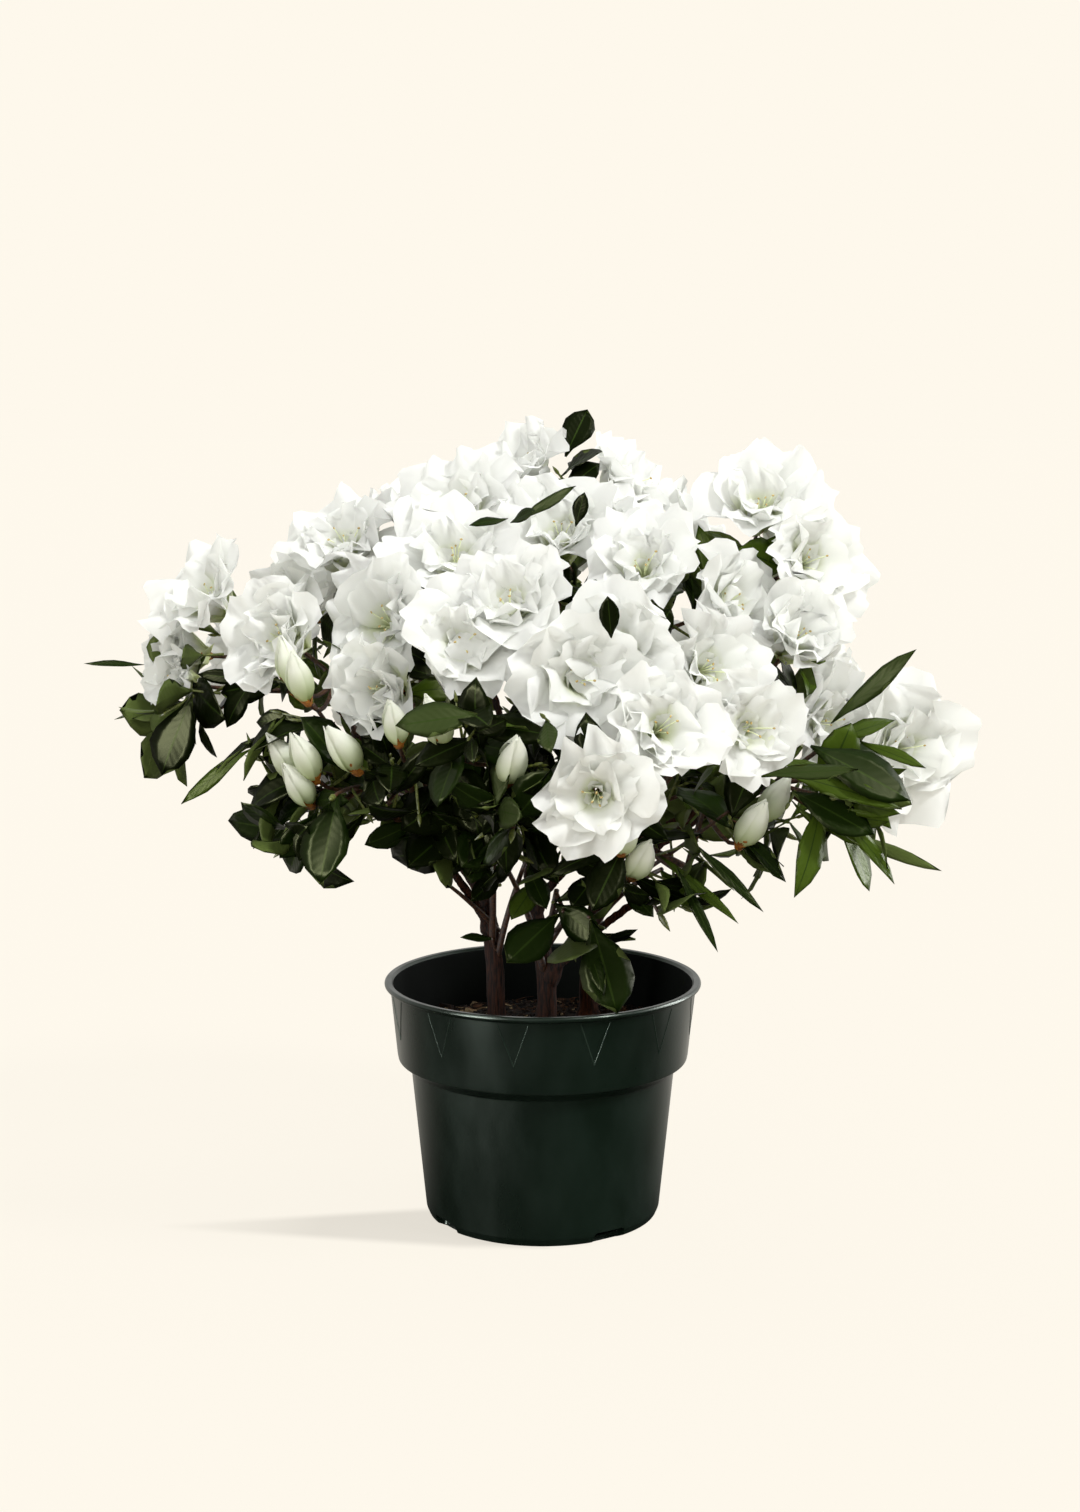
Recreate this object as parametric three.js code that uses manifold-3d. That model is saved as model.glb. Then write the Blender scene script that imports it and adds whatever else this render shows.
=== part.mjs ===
// A white double-flowered azalea in its plastic nursery pot. Millimetres, +Z up.
// The origin is the centre of the pot's flat underside, and the plant's front faces -Y.
import * as THREE from "three";
import { mergeVertices } from "three/addons/utils/BufferGeometryUtils.js";
import Module from "manifold-3d";

const wasm = await Module();
wasm.setup();

// ---- Driving dimensions -------------------------------------------------------------------------

const clearance = 0.3; // between solids that meet

const pot = {
  height: 125.4,
  rimRadius: 82.5, // outside of the rolled lip
  lipDepth: 3.4,
  collarTopRadius: 79.4,
  collarRadius: 75.8, // foot of the collar
  collarFoot: 87.5,
  bodyTop: 79.5, // where the chamfer under the collar meets the body
  bodyRadius: 68.8,
  baseRadius: 61.3,
  baseRound: 5,
  wall: 1.7,
  floor: 2.4,
  sides: 40,
  slotWidth: 19, // drainage slots where the wall meets the floor
  slotHeight: 7,
  slotDepth: 14,
  slotCount: 4,
  firstSlot: -146, // degrees round from +X
};

const soil = {
  moundHeight: 100, // flat top, on which the stems stand
  moundRadius: 44,
  edgeHeight: 96,
  sides: 24,
};

const leaf = { length: 42, width: 17, thickness: 0.9, sag: 0.16, fold: 0.1 };

const bloom = {
  width: 64,
  depth: 25, // from the stalk to the face
  lobes: 5,
  // Rings from the stalk to the throat: share of the half width, share of the depth, and how far the
  // lobes stand out and up. The second is the edge of the outer petals, the fourth of the inner ones.
  rings: [
    { out: 0, up: 0, lobe: 0, lift: 0 },
    { out: 0.92, up: 0.78, lobe: 0.12, lift: 0.1 },
    { out: 0.54, up: 0.62, lobe: 0, lift: 0 },
    { out: 0.4, up: 1.06, lobe: -0.08, lift: -0.12 },
    { out: 0, up: 0.5, lobe: 0, lift: 0 },
  ],
};

const bud = { length: 27, width: 12 };
const leafRoom = 10; // least room between the middles of two leaves
const stalk = { stemRadius: 2.4, radius: 1.2, tipRadius: 1, sunk: 6 }; // sunk is how far a twig reaches into its bloom
const heart = new THREE.Vector3(0, 10, 245); // the crown's middle, which every mass faces away from
const light = new THREE.Vector3(0, -0.32, 0.14); // blooms turn a little towards the front
const frontTurn = [0, -0.3, 0.05]; // and those in front further than their masses
const frontReach = 70; // masses up to this y are in front

// ---- Stems: woody, from the flat cut on the soil to the tip inside the crown ----------------------

const stems = [
  {
    name: "stem_left",
    path: [[-24, -2, 100], [-25, -2, 130], [-29, 0, 165], [-37, 2, 205]],
    radii: [5.2, 3.4],
  },
  {
    name: "stem_middle",
    path: [[1, -7, 100], [2, -6, 125], [-5, -4, 170], [-4, 2, 222]],
    radii: [5.6, 3.4],
  },
  {
    name: "stem_right",
    path: [[24, 17, 100], [25, 16, 135], [30, 15, 172], [41, 13, 212]],
    radii: [5.2, 3.4],
  },
];
const rootFlare = { widening: 0.5, height: 9, buried: 4 }; // what is buried is cut off flat at the soil

// ---- Boughs: each leaves its stem at a share of the stem's height and ends at one or two masses ---

const boughs = [
  { name: "bough_left_tip", stem: "stem_left", from: 0.62, radius: 2.7 },
  { name: "bough_left_front", stem: "stem_left", from: 0.78, radius: 2.7 },
  { name: "bough_left_under", stem: "stem_left", from: 0.5, radius: 2.5 },
  { name: "bough_upper_left", stem: "stem_left", from: 1, radius: 3 },
  { name: "bough_back_left", stem: "stem_left", from: 0.7, radius: 2.6 },
  { name: "bough_mid_left", stem: "stem_middle", from: 0.78, radius: 2.7 },
  { name: "bough_top_left", stem: "stem_middle", from: 1, radius: 3 },
  { name: "bough_centre", stem: "stem_middle", from: 0.66, radius: 2.8 },
  { name: "bough_back", stem: "stem_middle", from: 0.72, radius: 2.7 },
  { name: "bough_low_right", stem: "stem_middle", from: 0.24, radius: 2.5 },
  { name: "bough_front_low", stem: "stem_middle", from: 0.54, radius: 2.6 },
  { name: "bough_right_mid", stem: "stem_right", from: 0.86, radius: 2.8 },
  { name: "bough_centre_right", stem: "stem_right", from: 0.66, radius: 2.7 },
  { name: "bough_right_top", stem: "stem_right", from: 1, radius: 3 },
  { name: "bough_right_side", stem: "stem_right", from: 0.56, radius: 2.7 },
  { name: "bough_right_tip", stem: "stem_right", from: 0.76, radius: 2.7 },
  { name: "bough_back_right", stem: "stem_right", from: 0.64, radius: 2.7 },
];
const boughTipRadius = 1.7;
const boughReach = 0.6; // share of the way from the stem to its masses

// ---- Masses: what each one carries. at is the middle of its head, turn the way its blooms are set
// out round that, in degrees from +X, and buds and leaf shoots have turns of their own -------------

const masses = [
  { name: "left_tip", on: "bough_left_tip", at: [-184, -12, 314], reach: 44, blooms: 2, turn: 5,
    spread: 0.32, size: 0.92 },
  { name: "left_leaves", on: "bough_left_tip", at: [-192, -20, 286], reach: 46, shoots: 3, shootTurn: 170,
    blooms: 1, size: 0.6 },
  { name: "left_front", on: "bough_left_front", at: [-134, -72, 314], reach: 44, blooms: 1, buds: 2,
    budTurn: -52, budShift: 42, size: 1.08, shoots: 1, shootTurn: -120 },
  { name: "left_top", on: "bough_upper_left", at: [-122, 16, 338], reach: 46, blooms: 2, turn: 0,
    face: [0.1, -0.35, 0] },
  { name: "left_under", on: "bough_left_under", at: [-120, -100, 248], reach: 42, buds: 3, budTurn: 40,
    budShift: 8, shoots: 4, shootTurn: -100 },
  { name: "left_buds", on: "bough_left_under", at: [-84, -112, 264], reach: 36, buds: 2, budSpread: 16,
    budShift: 6, budTurn: 30, shoots: 2, shootTurn: -80 },
  { name: "upper_left", on: "bough_upper_left", at: [-86, 62, 358], reach: 46, blooms: 2, turn: 5 },
  { name: "mid_left", on: "bough_mid_left", at: [-62, -58, 336], reach: 46, blooms: 2, turn: 38 },
  { name: "centre_left", on: "bough_mid_left", at: [-60, -112, 303], reach: 46, blooms: 2, turn: 18 },
  { name: "top_left", on: "bough_top_left", at: [-34, 24, 376], reach: 44, blooms: 2, turn: 60 },
  { name: "top", on: "bough_top_left", at: [16, 62, 388], reach: 44, blooms: 2, turn: 5,
    spread: 0.5, shoots: 1, shootTurn: -80, shootOut: 12 },
  { name: "top_middle", on: "bough_right_mid", at: [30, 0, 364], reach: 44, blooms: 2, turn: 35 },
  { name: "right_mid", on: "bough_right_mid", at: [73, -54, 338], reach: 46, blooms: 2, turn: 2 },
  { name: "right_top", on: "bough_right_top", at: [127, 0, 357], reach: 52, blooms: 3, turn: 180,
    spread: 0.38, size: 1.05, face: [-0.2, -0.4, 0] },
  { name: "centre", on: "bough_centre", at: [0, -118, 314], reach: 48, blooms: 2, turn: -48, size: 1.04 },
  { name: "front_leaves", on: "bough_centre", at: [-14, -148, 262], reach: 40, buds: 2, budTurn: 157,
    budShift: 18, budSpread: 18, shoots: 3, shootTurn: 20 },
  { name: "centre_right", on: "bough_centre_right", at: [60, -110, 307], reach: 46, blooms: 2, turn: 0 },
  { name: "front_low", on: "bough_front_low", at: [40, -154, 263], reach: 44, blooms: 2, turn: 42, size: 0.92 },
  { name: "front_right", on: "bough_front_low", at: [101, -116, 274], reach: 36, blooms: 1, shoots: 1,
    shootTurn: -60, size: 0.85 },
  { name: "right_shoulder", on: "bough_right_side", at: [138, -42, 288], reach: 46, blooms: 2, turn: -35 },
  { name: "right_leaves", on: "bough_right_side", at: [152, -78, 240], reach: 46, shoots: 4, shootTurn: 10 },
  { name: "right_tip", on: "bough_right_tip", at: [188, -24, 250], reach: 46, blooms: 1, size: 1.16,
    shoots: 1, shootTurn: -125, shootOut: 26, face: [-0.35, -0.8, 0.1] },
  { name: "low_right", on: "bough_low_right", at: [50, -92, 202], reach: 42, buds: 2, budTurn: 120,
    budShift: 16, shoots: 2, shootTurn: -80 },
  { name: "right_under", on: "bough_low_right", at: [114, -62, 230], reach: 42, buds: 2, budTurn: 190,
    budShift: 16, shoots: 3, shootTurn: -60 },
  { name: "low_centre", on: "stem_left", from: 0.4, at: [-38, -82, 226], reach: 46, shoots: 5, shootTurn: 90 },
  { name: "inner_leaves", on: "stem_middle", from: 0.72, at: [8, -64, 224], reach: 40, shoots: 3, shootTurn: -60 },
  { name: "foot_leaves", on: "stem_middle", from: 0.34, at: [14, -52, 160], reach: 30, shoots: 1,
    shootTurn: -90 },
  { name: "back_left", on: "bough_back_left", at: [-160, 72, 300], reach: 48, blooms: 2, turn: 20,
    shoots: 1, shootTurn: -90 },
  { name: "back_low_left", on: "bough_back_left", at: [-78, 142, 270], reach: 50, blooms: 2, turn: 10,
    shoots: 2, shootTurn: -90 },
  { name: "back_mid_left", on: "bough_back", at: [-92, 112, 328], reach: 48, blooms: 2, turn: 30 },
  { name: "back_top", on: "bough_back", at: [-14, 116, 354], reach: 48, blooms: 2, turn: 0 },
  { name: "back_top_right", on: "bough_back_right", at: [66, 98, 350], reach: 48, blooms: 2, turn: -30 },
  { name: "back_low", on: "bough_back_right", at: [14, 156, 294], reach: 50, blooms: 2, turn: 0,
    shoots: 2, shootTurn: -90 },
  { name: "back_right", on: "bough_right_top", at: [134, 74, 318], reach: 48, blooms: 2, turn: -40 },
  { name: "back_right_tip", on: "bough_right_tip", at: [166, 52, 262], reach: 44, blooms: 1,
    shoots: 2, shootTurn: -80 },
  { name: "back_low_right", on: "stem_right", from: 0.66, at: [98, 128, 262], reach: 48, blooms: 2, turn: 20,
    shoots: 2, shootTurn: -90 },
  { name: "under_back_left", on: "stem_left", from: 0.56, at: [-98, 76, 222], reach: 44, shoots: 5,
    shootTurn: 0 },
  { name: "under_back_right", on: "stem_right", from: 0.34, at: [78, 80, 206], reach: 44, shoots: 5,
    shootTurn: 0 },
];

// ---- Seeded chance: the same numbers each run ------------------------------------------------------

function seededChance(seed) {
  let state = seed * 7919 + 17;
  return () => {
    state = (state * 16807) % 2147483647;
    return state / 2147483647;
  };
}
const between = (chance, low, high) => low + (high - low) * chance();
const radians = THREE.MathUtils.degToRad;
const vector = (list) => new THREE.Vector3(...list);

// ---- Solids ---------------------------------------------------------------------------------------

function solidOf(geometry) {
  const bare = geometry.clone();
  bare.deleteAttribute("normal");
  bare.deleteAttribute("uv");
  const merged = mergeVertices(bare, 1e-3);
  const mesh = { numProp: 3, vertProperties: merged.attributes.position.array };
  const made = new wasm.Manifold(new wasm.Mesh({ ...mesh, triVerts: merged.index.array }));
  return made.volume() < 0 ? new wasm.Manifold(new wasm.Mesh({ ...mesh, triVerts: merged.index.array.toReversed() })) : made;
}

function geometryOf(solid) {
  const { vertProperties, triVerts } = solid.getMesh();
  const geometry = new THREE.BufferGeometry();
  geometry.setAttribute("position", new THREE.BufferAttribute(vertProperties, 3));
  geometry.setIndex(new THREE.BufferAttribute(triVerts, 1));
  return geometry;
}

const fuse = (solids) => wasm.Manifold.union(solids);

// The largest piece of a solid, which drops loose scraps and fills sealed hollows.
function mainPiece(solid) {
  const pieces = solid.decompose();
  return pieces.reduce((best, piece) => (piece.volume() > best.volume() ? piece : best));
}

// Rounds a solid to thousandths, so that what nearly touches is welded, and keeps the largest piece.
function settled(solid) {
  const rounded = (value) => Math.round(value * 1000) / 1000;
  return mainPiece(solidOf(shaped(geometryOf(solid), (...place) => new THREE.Vector3(...place.map(rounded)))));
}

// Moves each vertex of a geometry to place(x, y, z).
function shaped(geometry, place) {
  const position = geometry.attributes.position;
  for (let i = 0; i < position.count; i++)
    position.setXYZ(i, ...place(position.getX(i), position.getY(i), position.getZ(i)).toArray());
  return geometry;
}

// A tube along a curve whose radius is radiusAt(share of its length).
function tapered(curve, radiusAt, sides, steps) {
  const frames = curve.computeFrenetFrames(steps);
  return solidOf(
    shaped(new THREE.CylinderGeometry(1, 1, 1, sides, steps), (x, y, z) => {
      const step = Math.round((y + 0.5) * steps);
      const radius = radiusAt(step / steps);
      return curve
        .getPointAt(step / steps)
        .addScaledVector(frames.normals[step], x * radius)
        .addScaledVector(frames.binormals[step], -z * radius);
    }),
  );
}

const linear = (from, to) => (share) => from + (to - from) * share;

// ---- Pot and soil -----------------------------------------------------------------------------------

function makePot() {
  const inner = (radius) => radius - pot.wall;
  const profile = [
    [0, 0],
    [pot.baseRadius - pot.baseRound, 0],
    [pot.baseRadius - pot.baseRound * 0.3, pot.baseRound * 0.3],
    [pot.baseRadius, pot.baseRound],
    [pot.bodyRadius, pot.bodyTop],
    [pot.collarRadius - 0.8, pot.collarFoot - 2.6],
    [pot.collarRadius, pot.collarFoot],
    [pot.collarTopRadius, pot.height - pot.lipDepth],
    [pot.rimRadius, pot.height - pot.lipDepth * 0.6],
    [pot.rimRadius - 0.6, pot.height],
    [inner(pot.collarTopRadius), pot.height - 0.6],
    [inner(pot.collarRadius), pot.collarFoot],
    [inner(pot.bodyRadius), pot.bodyTop],
    [inner(pot.baseRadius), pot.baseRound + pot.floor],
    [inner(pot.baseRadius) - pot.baseRound, pot.floor],
    [0, pot.floor],
  ].map(([radius, height]) => new THREE.Vector2(radius, height));
  let solid = solidOf(new THREE.LatheGeometry(profile, pot.sides).rotateX(Math.PI / 2));
  for (let k = 0; k < pot.slotCount; k++) {
    const slot = new THREE.BoxGeometry(pot.slotDepth, pot.slotWidth, pot.slotHeight);
    slot.translate(pot.baseRadius, 0, pot.slotHeight / 2 - 0.5);
    slot.rotateZ(radians(pot.firstSlot + (360 * k) / pot.slotCount));
    solid = solid.subtract(solidOf(slot));
  }
  return solid;
}

function makeSoil() {
  const gap = pot.wall + clearance;
  const wallAt = (height) =>
    pot.baseRadius + ((pot.bodyRadius - pot.baseRadius) * (height - pot.baseRound)) / (pot.bodyTop - pot.baseRound);
  const foot = pot.slotHeight + 2;
  const profile = [
    [0, foot],
    [wallAt(foot) - gap - 1, foot],
    [pot.bodyRadius - gap, pot.bodyTop + 0.6],
    [pot.collarRadius - gap, pot.collarFoot + 0.8],
    [pot.collarRadius - gap, soil.edgeHeight],
    [soil.moundRadius, soil.moundHeight],
    [0, soil.moundHeight],
  ].map(([radius, height]) => new THREE.Vector2(radius, height));
  return solidOf(new THREE.LatheGeometry(profile, soil.sides).rotateX(Math.PI / 2));
}

// ---- Stems and boughs -------------------------------------------------------------------------------

function makeStem({ path, radii }, extra) {
  const points = path.map(vector);
  points[0].z -= rootFlare.buried;
  const tip = points.at(-1);
  tip.addScaledVector(tip.clone().sub(points.at(-2)).normalize(), extra);
  const curve = new THREE.CatmullRomCurve3(points);
  const height = curve.getLength();
  const radiusAt = (share) => {
    const flare = Math.max(0, 1 - (share * height - rootFlare.buried) / rootFlare.height);
    return linear(...radii)(share) * (1 + rootFlare.widening * flare * flare) + extra;
  };
  const whole = tapered(curve, radiusAt, 7, 8);
  return { curve, radiusAt, solid: whole.trimByPlane([0, 0, 1], soil.moundHeight + clearance) };
}

// The plane between two masses: its point and the unit vector from the first to the second.
function planeBetween(a, b) {
  const across = vector(b.at).sub(vector(a.at));
  const gap = across.length();
  const share = THREE.MathUtils.clamp(0.5 + (a.reach ** 2 - b.reach ** 2) / (2 * gap * gap), 0.35, 0.65);
  return { point: vector(a.at).addScaledVector(across, share), normal: across.normalize() };
}

// A bough rises from its stem and then leans over to its tip, which lies between its masses.
function boughCurve(bough) {
  const stem = stemShapes[bough.stem];
  const start = stem.curve.getPointAt(bough.from);
  const carried = masses.filter((mass) => mass.on === bough.name);
  const middle = carried
    .reduce((sum, mass) => sum.add(vector(mass.at)), new THREE.Vector3())
    .divideScalar(carried.length);
  const tip = start.clone().lerp(middle, boughReach);
  if (carried.length > 1) {
    const { point, normal } = planeBetween(...carried);
    tip.addScaledVector(normal, point.sub(tip).dot(normal));
  }
  const rise = start.clone().lerp(tip, 0.4);
  rise.z += 0.1 * start.distanceTo(tip);
  return new THREE.QuadraticBezierCurve3(start, rise, tip);
}

const makeBough = (bough, extra) =>
  tapered(boughCurve(bough), linear(bough.radius + extra, boughTipRadius + extra), 5, 3);

// ---- Leaves, blooms and buds ------------------------------------------------------------------------

// A leaf of 8 faces: root, tip, two edges, and the middle of its upper and lower side.
function leafPoints({ root, along, normal, length }) {
  const side = normal.clone().cross(along);
  const width = (leaf.width * length) / leaf.length;
  return (x, y, z) => {
    const share = (x + 1) / 2;
    const lift = -leaf.sag * share * share * length + leaf.fold * Math.abs(y) * width + (z * leaf.thickness) / 2;
    return root
      .clone()
      .addScaledVector(along, share * length)
      .addScaledVector(side, (y * width) / 2)
      .addScaledVector(normal, lift);
  };
}

// Two unit vectors square to a direction: the first as level as it can be, the second above it.
function crossAxes(direction) {
  const across = new THREE.Vector3(1, 0, 0).addScaledVector(direction, -direction.x).normalize();
  return [across, direction.clone().cross(across)];
}

// A double bloom in one surface, from the stalk round the outer and inner petals to the throat.
function bloomSolid({ at, facing, size, roll }) {
  const [across, upward] = crossAxes(facing);
  const last = bloom.rings.length - 1;
  const surface = new THREE.SphereGeometry(1, 2 * bloom.lobes, last);
  const placed = shaped(surface, (x, y, z) => {
    const { out, up, lobe, lift } = bloom.rings[Math.round((Math.acos(-y) / Math.PI) * last)];
    const angle = Math.atan2(z, x);
    const wave = Math.cos(bloom.lobes * angle);
    const radius = (bloom.width / 2) * size * (out + lobe * wave);
    const height = bloom.depth * size * (up + lift * wave - 1);
    return at
      .clone()
      .addScaledVector(facing, height)
      .addScaledVector(across, radius * Math.cos(angle + radians(roll)))
      .addScaledVector(upward, radius * Math.sin(angle + radians(roll)));
  });
  return solidOf(placed);
}

function budSolid({ at, facing, size }) {
  const [across, upward] = crossAxes(facing);
  const placed = shaped(new THREE.SphereGeometry(1, 5, 3), (x, y, z) =>
    at
      .clone()
      .addScaledVector(facing, (y * bud.length * size) / 2)
      .addScaledVector(across, (x * bud.width * size) / 2)
      .addScaledVector(upward, (z * bud.width * size) / 2),
  );
  return solidOf(placed);
}

// ---- Growth: a mass is one stem that forks to its blooms, buds and leaf shoots ----------------------

// The leaves set in a ring round a twig's end, with their roots along its last part.
function whorl(fork, end, facing, count, spread, scale, chance) {
  const [across, upward] = crossAxes(facing);
  const first = between(chance, 0, 360);
  return Array.from({ length: count }, (_, k) => {
    const angle = radians(first + (360 * k) / count + between(chance, -14, 14));
    const pitch = radians(spread + between(chance, -10, 10));
    const length = leaf.length * scale * between(chance, 0.8, 1.12);
    const radial = across.clone().multiplyScalar(Math.cos(angle)).addScaledVector(upward, Math.sin(angle));
    const along = facing.clone().multiplyScalar(Math.cos(pitch)).addScaledVector(radial, Math.sin(pitch));
    const normal = facing.clone().multiplyScalar(Math.sin(pitch)).addScaledVector(radial, -Math.cos(pitch));
    const root = end.clone().lerp(fork, 0.12 + (0.2 * k) / count).addScaledVector(radial, 0.5 * stalk.tipRadius);
    return { root, along, normal, length };
  });
}

// Everything one mass grows, as places and directions.
function growMass(mass, foot, seed) {
  const chance = seededChance(seed);
  const at = vector(mass.at);
  const outward = at.clone().sub(heart).normalize();
  const [across, upward] = crossAxes(outward);
  const size = mass.size ?? 1;
  const around = (degrees, distance) =>
    across
      .clone()
      .multiplyScalar(Math.cos(radians(degrees)) * distance)
      .addScaledVector(upward, Math.sin(radians(degrees)) * distance);
  const fork = at.clone().addScaledVector(outward, -bloom.depth - 12).lerp(foot, 0.25);
  const grown = { fork, blooms: [], buds: [], leaves: [], twigs: [] };
  const addTwig = (foot, facing) => {
    grown.twigs.push(foot.clone().addScaledVector(facing, stalk.sunk));
    return grown.twigs.at(-1);
  };

  const bloomCount = mass.blooms ?? 0;
  const bloomSpread = bloomCount > 1 ? (mass.spread ?? 0.42) * bloom.width * size : 0;
  for (let k = 0; k < bloomCount; k++) {
    const offset = around((mass.turn ?? 0) + (360 * k) / bloomCount, bloomSpread);
    const facing = outward.clone().add(light).addScaledVector(offset, 0.022).normalize();
    const place = at.clone().add(offset).addScaledVector(outward, between(chance, -5, 4));
    const width = size * between(chance, 0.94, 1.08);
    const turned = facing.clone().add(vector(mass.face ?? (at.y < frontReach ? frontTurn : [0, 0, 0]))).normalize();
    grown.blooms.push({ at: place, facing: turned, size: width, roll: between(chance, 0, 72) });
    const end = addTwig(place.clone().addScaledVector(turned, -bloom.depth * width), turned);
    grown.leaves.push(...whorl(fork, end, facing, 5, 86, 1, chance));
  }

  const budCount = mass.buds ?? 0;
  const budTurn = mass.budTurn ?? 20;
  const budMiddle = at.clone().add(around(budTurn, mass.budShift ?? 0));
  for (let k = 0; k < budCount; k++) {
    const offset = around(budTurn + (360 * k) / budCount, mass.budSpread ?? 9);
    const facing = outward.clone().add(light).addScaledVector(offset, 0.03).add(new THREE.Vector3(0, 0, 0.7)).normalize();
    const place = budMiddle.clone().add(offset).addScaledVector(facing, between(chance, -5, 5));
    const width = between(chance, 0.9, 1.2);
    grown.buds.push({ at: place, facing, size: width });
    const end = addTwig(place.clone().addScaledVector(facing, -0.5 * bud.length * width), facing);
    if (k === 0) grown.leaves.push(...whorl(fork, end, facing, 6, 84, 1, chance));
  }

  const shootCount = mass.shoots ?? 0;
  for (let k = 0; k < shootCount; k++) {
    const turn = mass.shootTurn + (shootCount > 2 ? (360 * k) / shootCount : 50 * k) + between(chance, -12, 12);
    const offset = around(turn, mass.shootOut ?? mass.reach * (bloomCount || budCount ? 0.72 : 0.46));
    const facing = outward.clone().addScaledVector(offset, 0.03).add(new THREE.Vector3(0, 0, 0.15)).normalize();
    const end = addTwig(at.clone().add(offset).addScaledVector(outward, between(chance, -16, -4)), facing);
    grown.leaves.push(...whorl(fork, end, facing, 6, 64, 1.1, chance));
    grown.leaves.push(...whorl(fork, end, facing, 1, 20, 0.95, chance));
  }
  return grown;
}

// Where a mass's stem begins: just clear of its bough's tip, or of the side of its stem.
function footOf(mass) {
  const at = vector(mass.at);
  if (mass.on.startsWith("stem")) {
    const stem = stemShapes[mass.on];
    const start = stem.curve.getPointAt(mass.from);
    return start.addScaledVector(at.sub(start).normalize(), stem.radiusAt(mass.from) * 0.5);
  }
  const curve = boughShapes[mass.on].curve;
  const tip = curve.getPoint(1);
  const forward = curve.getTangent(1);
  const sideways = at.sub(tip);
  sideways.addScaledVector(forward, -sideways.dot(forward)).normalize();
  const carried = masses.filter((other) => other.on === mass.on).length;
  return tip.addScaledVector(forward, clearance).addScaledVector(sideways, carried > 1 ? stalk.stemRadius * 1.15 : 0);
}

// A straight three-sided twig of 8 faces.
function twigSolid(from, to, fromRadius, toRadius) {
  const [across, upward] = crossAxes(to.clone().sub(from).normalize());
  const corners = (middle, radius) =>
    [0, 120, 240].map((degrees) =>
      middle
        .clone()
        .addScaledVector(across, radius * Math.cos(radians(degrees)))
        .addScaledVector(upward, radius * Math.sin(radians(degrees))),
    );
  const twig = new THREE.BufferGeometry().setFromPoints([...corners(from, fromRadius), ...corners(to, toRadius)]);
  twig.setIndex([0, 2, 1, 3, 4, 5, 0, 1, 4, 0, 4, 3, 1, 2, 5, 1, 5, 4, 2, 0, 3, 2, 3, 5]);
  return solidOf(twig);
}

const stemShapes = Object.fromEntries(stems.map((stem) => [stem.name, makeStem(stem, 0)]));
const boughShapes = Object.fromEntries(
  boughs.map((bough) => [bough.name, { curve: boughCurve(bough), solid: makeBough(bough, 0) }]),
);
const stemRoom = fuse(stems.map((stem) => makeStem(stem, clearance).solid));
const boughRoom = Object.fromEntries(boughs.map((bough) => [bough.name, makeBough(bough, clearance)]));

// Each bough is cut clear of the stems and of the boughs before it.
const boughSolids = [];
boughs.forEach((bough, index) => {
  const earlier = boughs.slice(0, index).map((other) => boughRoom[other.name]);
  boughSolids.push(settled(boughShapes[bough.name].solid.subtract(fuse([stemRoom, ...earlier]))));
});
const limbRoom = fuse([stemRoom, ...Object.values(boughRoom)]);

// The half space on the mass's own side of the plane to another mass, as a big box.
function beyond(mass, other) {
  const { point, normal } = planeBetween(mass, other);
  const size = 400;
  const box = new THREE.BoxGeometry(size, size, size);
  box.applyQuaternion(new THREE.Quaternion().setFromUnitVectors(new THREE.Vector3(0, 0, 1), normal));
  const middle = point.addScaledVector(normal, size / 2 - clearance / 2);
  return solidOf(box.translate(...middle.toArray()));
}

const neighbours = (mass) =>
  masses.filter((other) => other !== mass && vector(other.at).distanceTo(vector(mass.at)) < 190);

// Whether a point is in the mass's own space, a little clear of its neighbours'.
function isInside(mass, point) {
  return neighbours(mass).every((other) => {
    const plane = planeBetween(mass, other);
    return point.clone().sub(plane.point).dot(plane.normal) < -clearance;
  });
}

const limbPoints = [...Object.values(stemShapes), ...Object.values(boughShapes)].flatMap(({ curve }) => curve.getSpacedPoints(24));
const isClear = (point) => limbPoints.every((other) => other.distanceTo(point) > 6);

function keepsToSpace(mass, leafPlace) {
  const points = [[1, 0, 0], [0, 1, 0], [0, -1, 0]].map((corner) => leafPlace(...corner));
  return points.every((point) => isInside(mass, point) && isClear(point) && point.z > pot.height - 20);
}

// Whether a point is inside a bloom or closer than a leaf's width in front of its back.
function isInBloom({ at, facing, size }, point) {
  const fromStalk = point.clone().sub(at).addScaledVector(facing, bloom.depth * size);
  const height = fromStalk.dot(facing);
  const radius = fromStalk.addScaledVector(facing, -height).length();
  return radius < 0.5 * bloom.width * size && height > (1.6 * bloom.depth * radius) / bloom.width - 1;
}

// Leaves are kept in turn where they stay in the mass's space, don't run along an earlier leaf and
// don't run into a bloom.
function keptLeaves(mass, { leaves, blooms }) {
  const middles = [];
  return leaves.map(leafPoints).filter((place) => {
    const middle = [-0.3, 0.7].map((x) => place(x, 0, 0));
    const crowded = middles.some((other) => middle.some((point, k) => point.distanceTo(other[k]) < leafRoom));
    const hidden = blooms.some((one) => [...middle, place(0.2, 1, 0), place(0.2, -1, 0)].some((point) => isInBloom(one, point)));
    if (crowded || hidden || !keepsToSpace(mass, place)) return false;
    middles.push(middle);
    return true;
  });
}

// A mass's stem and twigs, and the room they need when extra is the clearance.
function woodOf(foot, { fork, twigs }, extra) {
  const stemEnd = fork.clone().addScaledVector(fork.clone().sub(foot).normalize(), 2);
  return fuse([
    twigSolid(foot, stemEnd, stalk.stemRadius + 2 * extra, stalk.stemRadius + 2 * extra),
    ...twigs.map((end) => twigSolid(fork, end, stalk.radius + 2 * extra, stalk.tipRadius + 2 * extra)),
  ]);
}

const grownMasses = masses.map((mass, index) => {
  const foot = footOf(mass);
  const grown = growMass(mass, foot, index + 1);
  return { mass, grown, wood: woodOf(foot, grown, 0), woodRoom: woodOf(foot, grown, clearance) };
});

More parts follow.
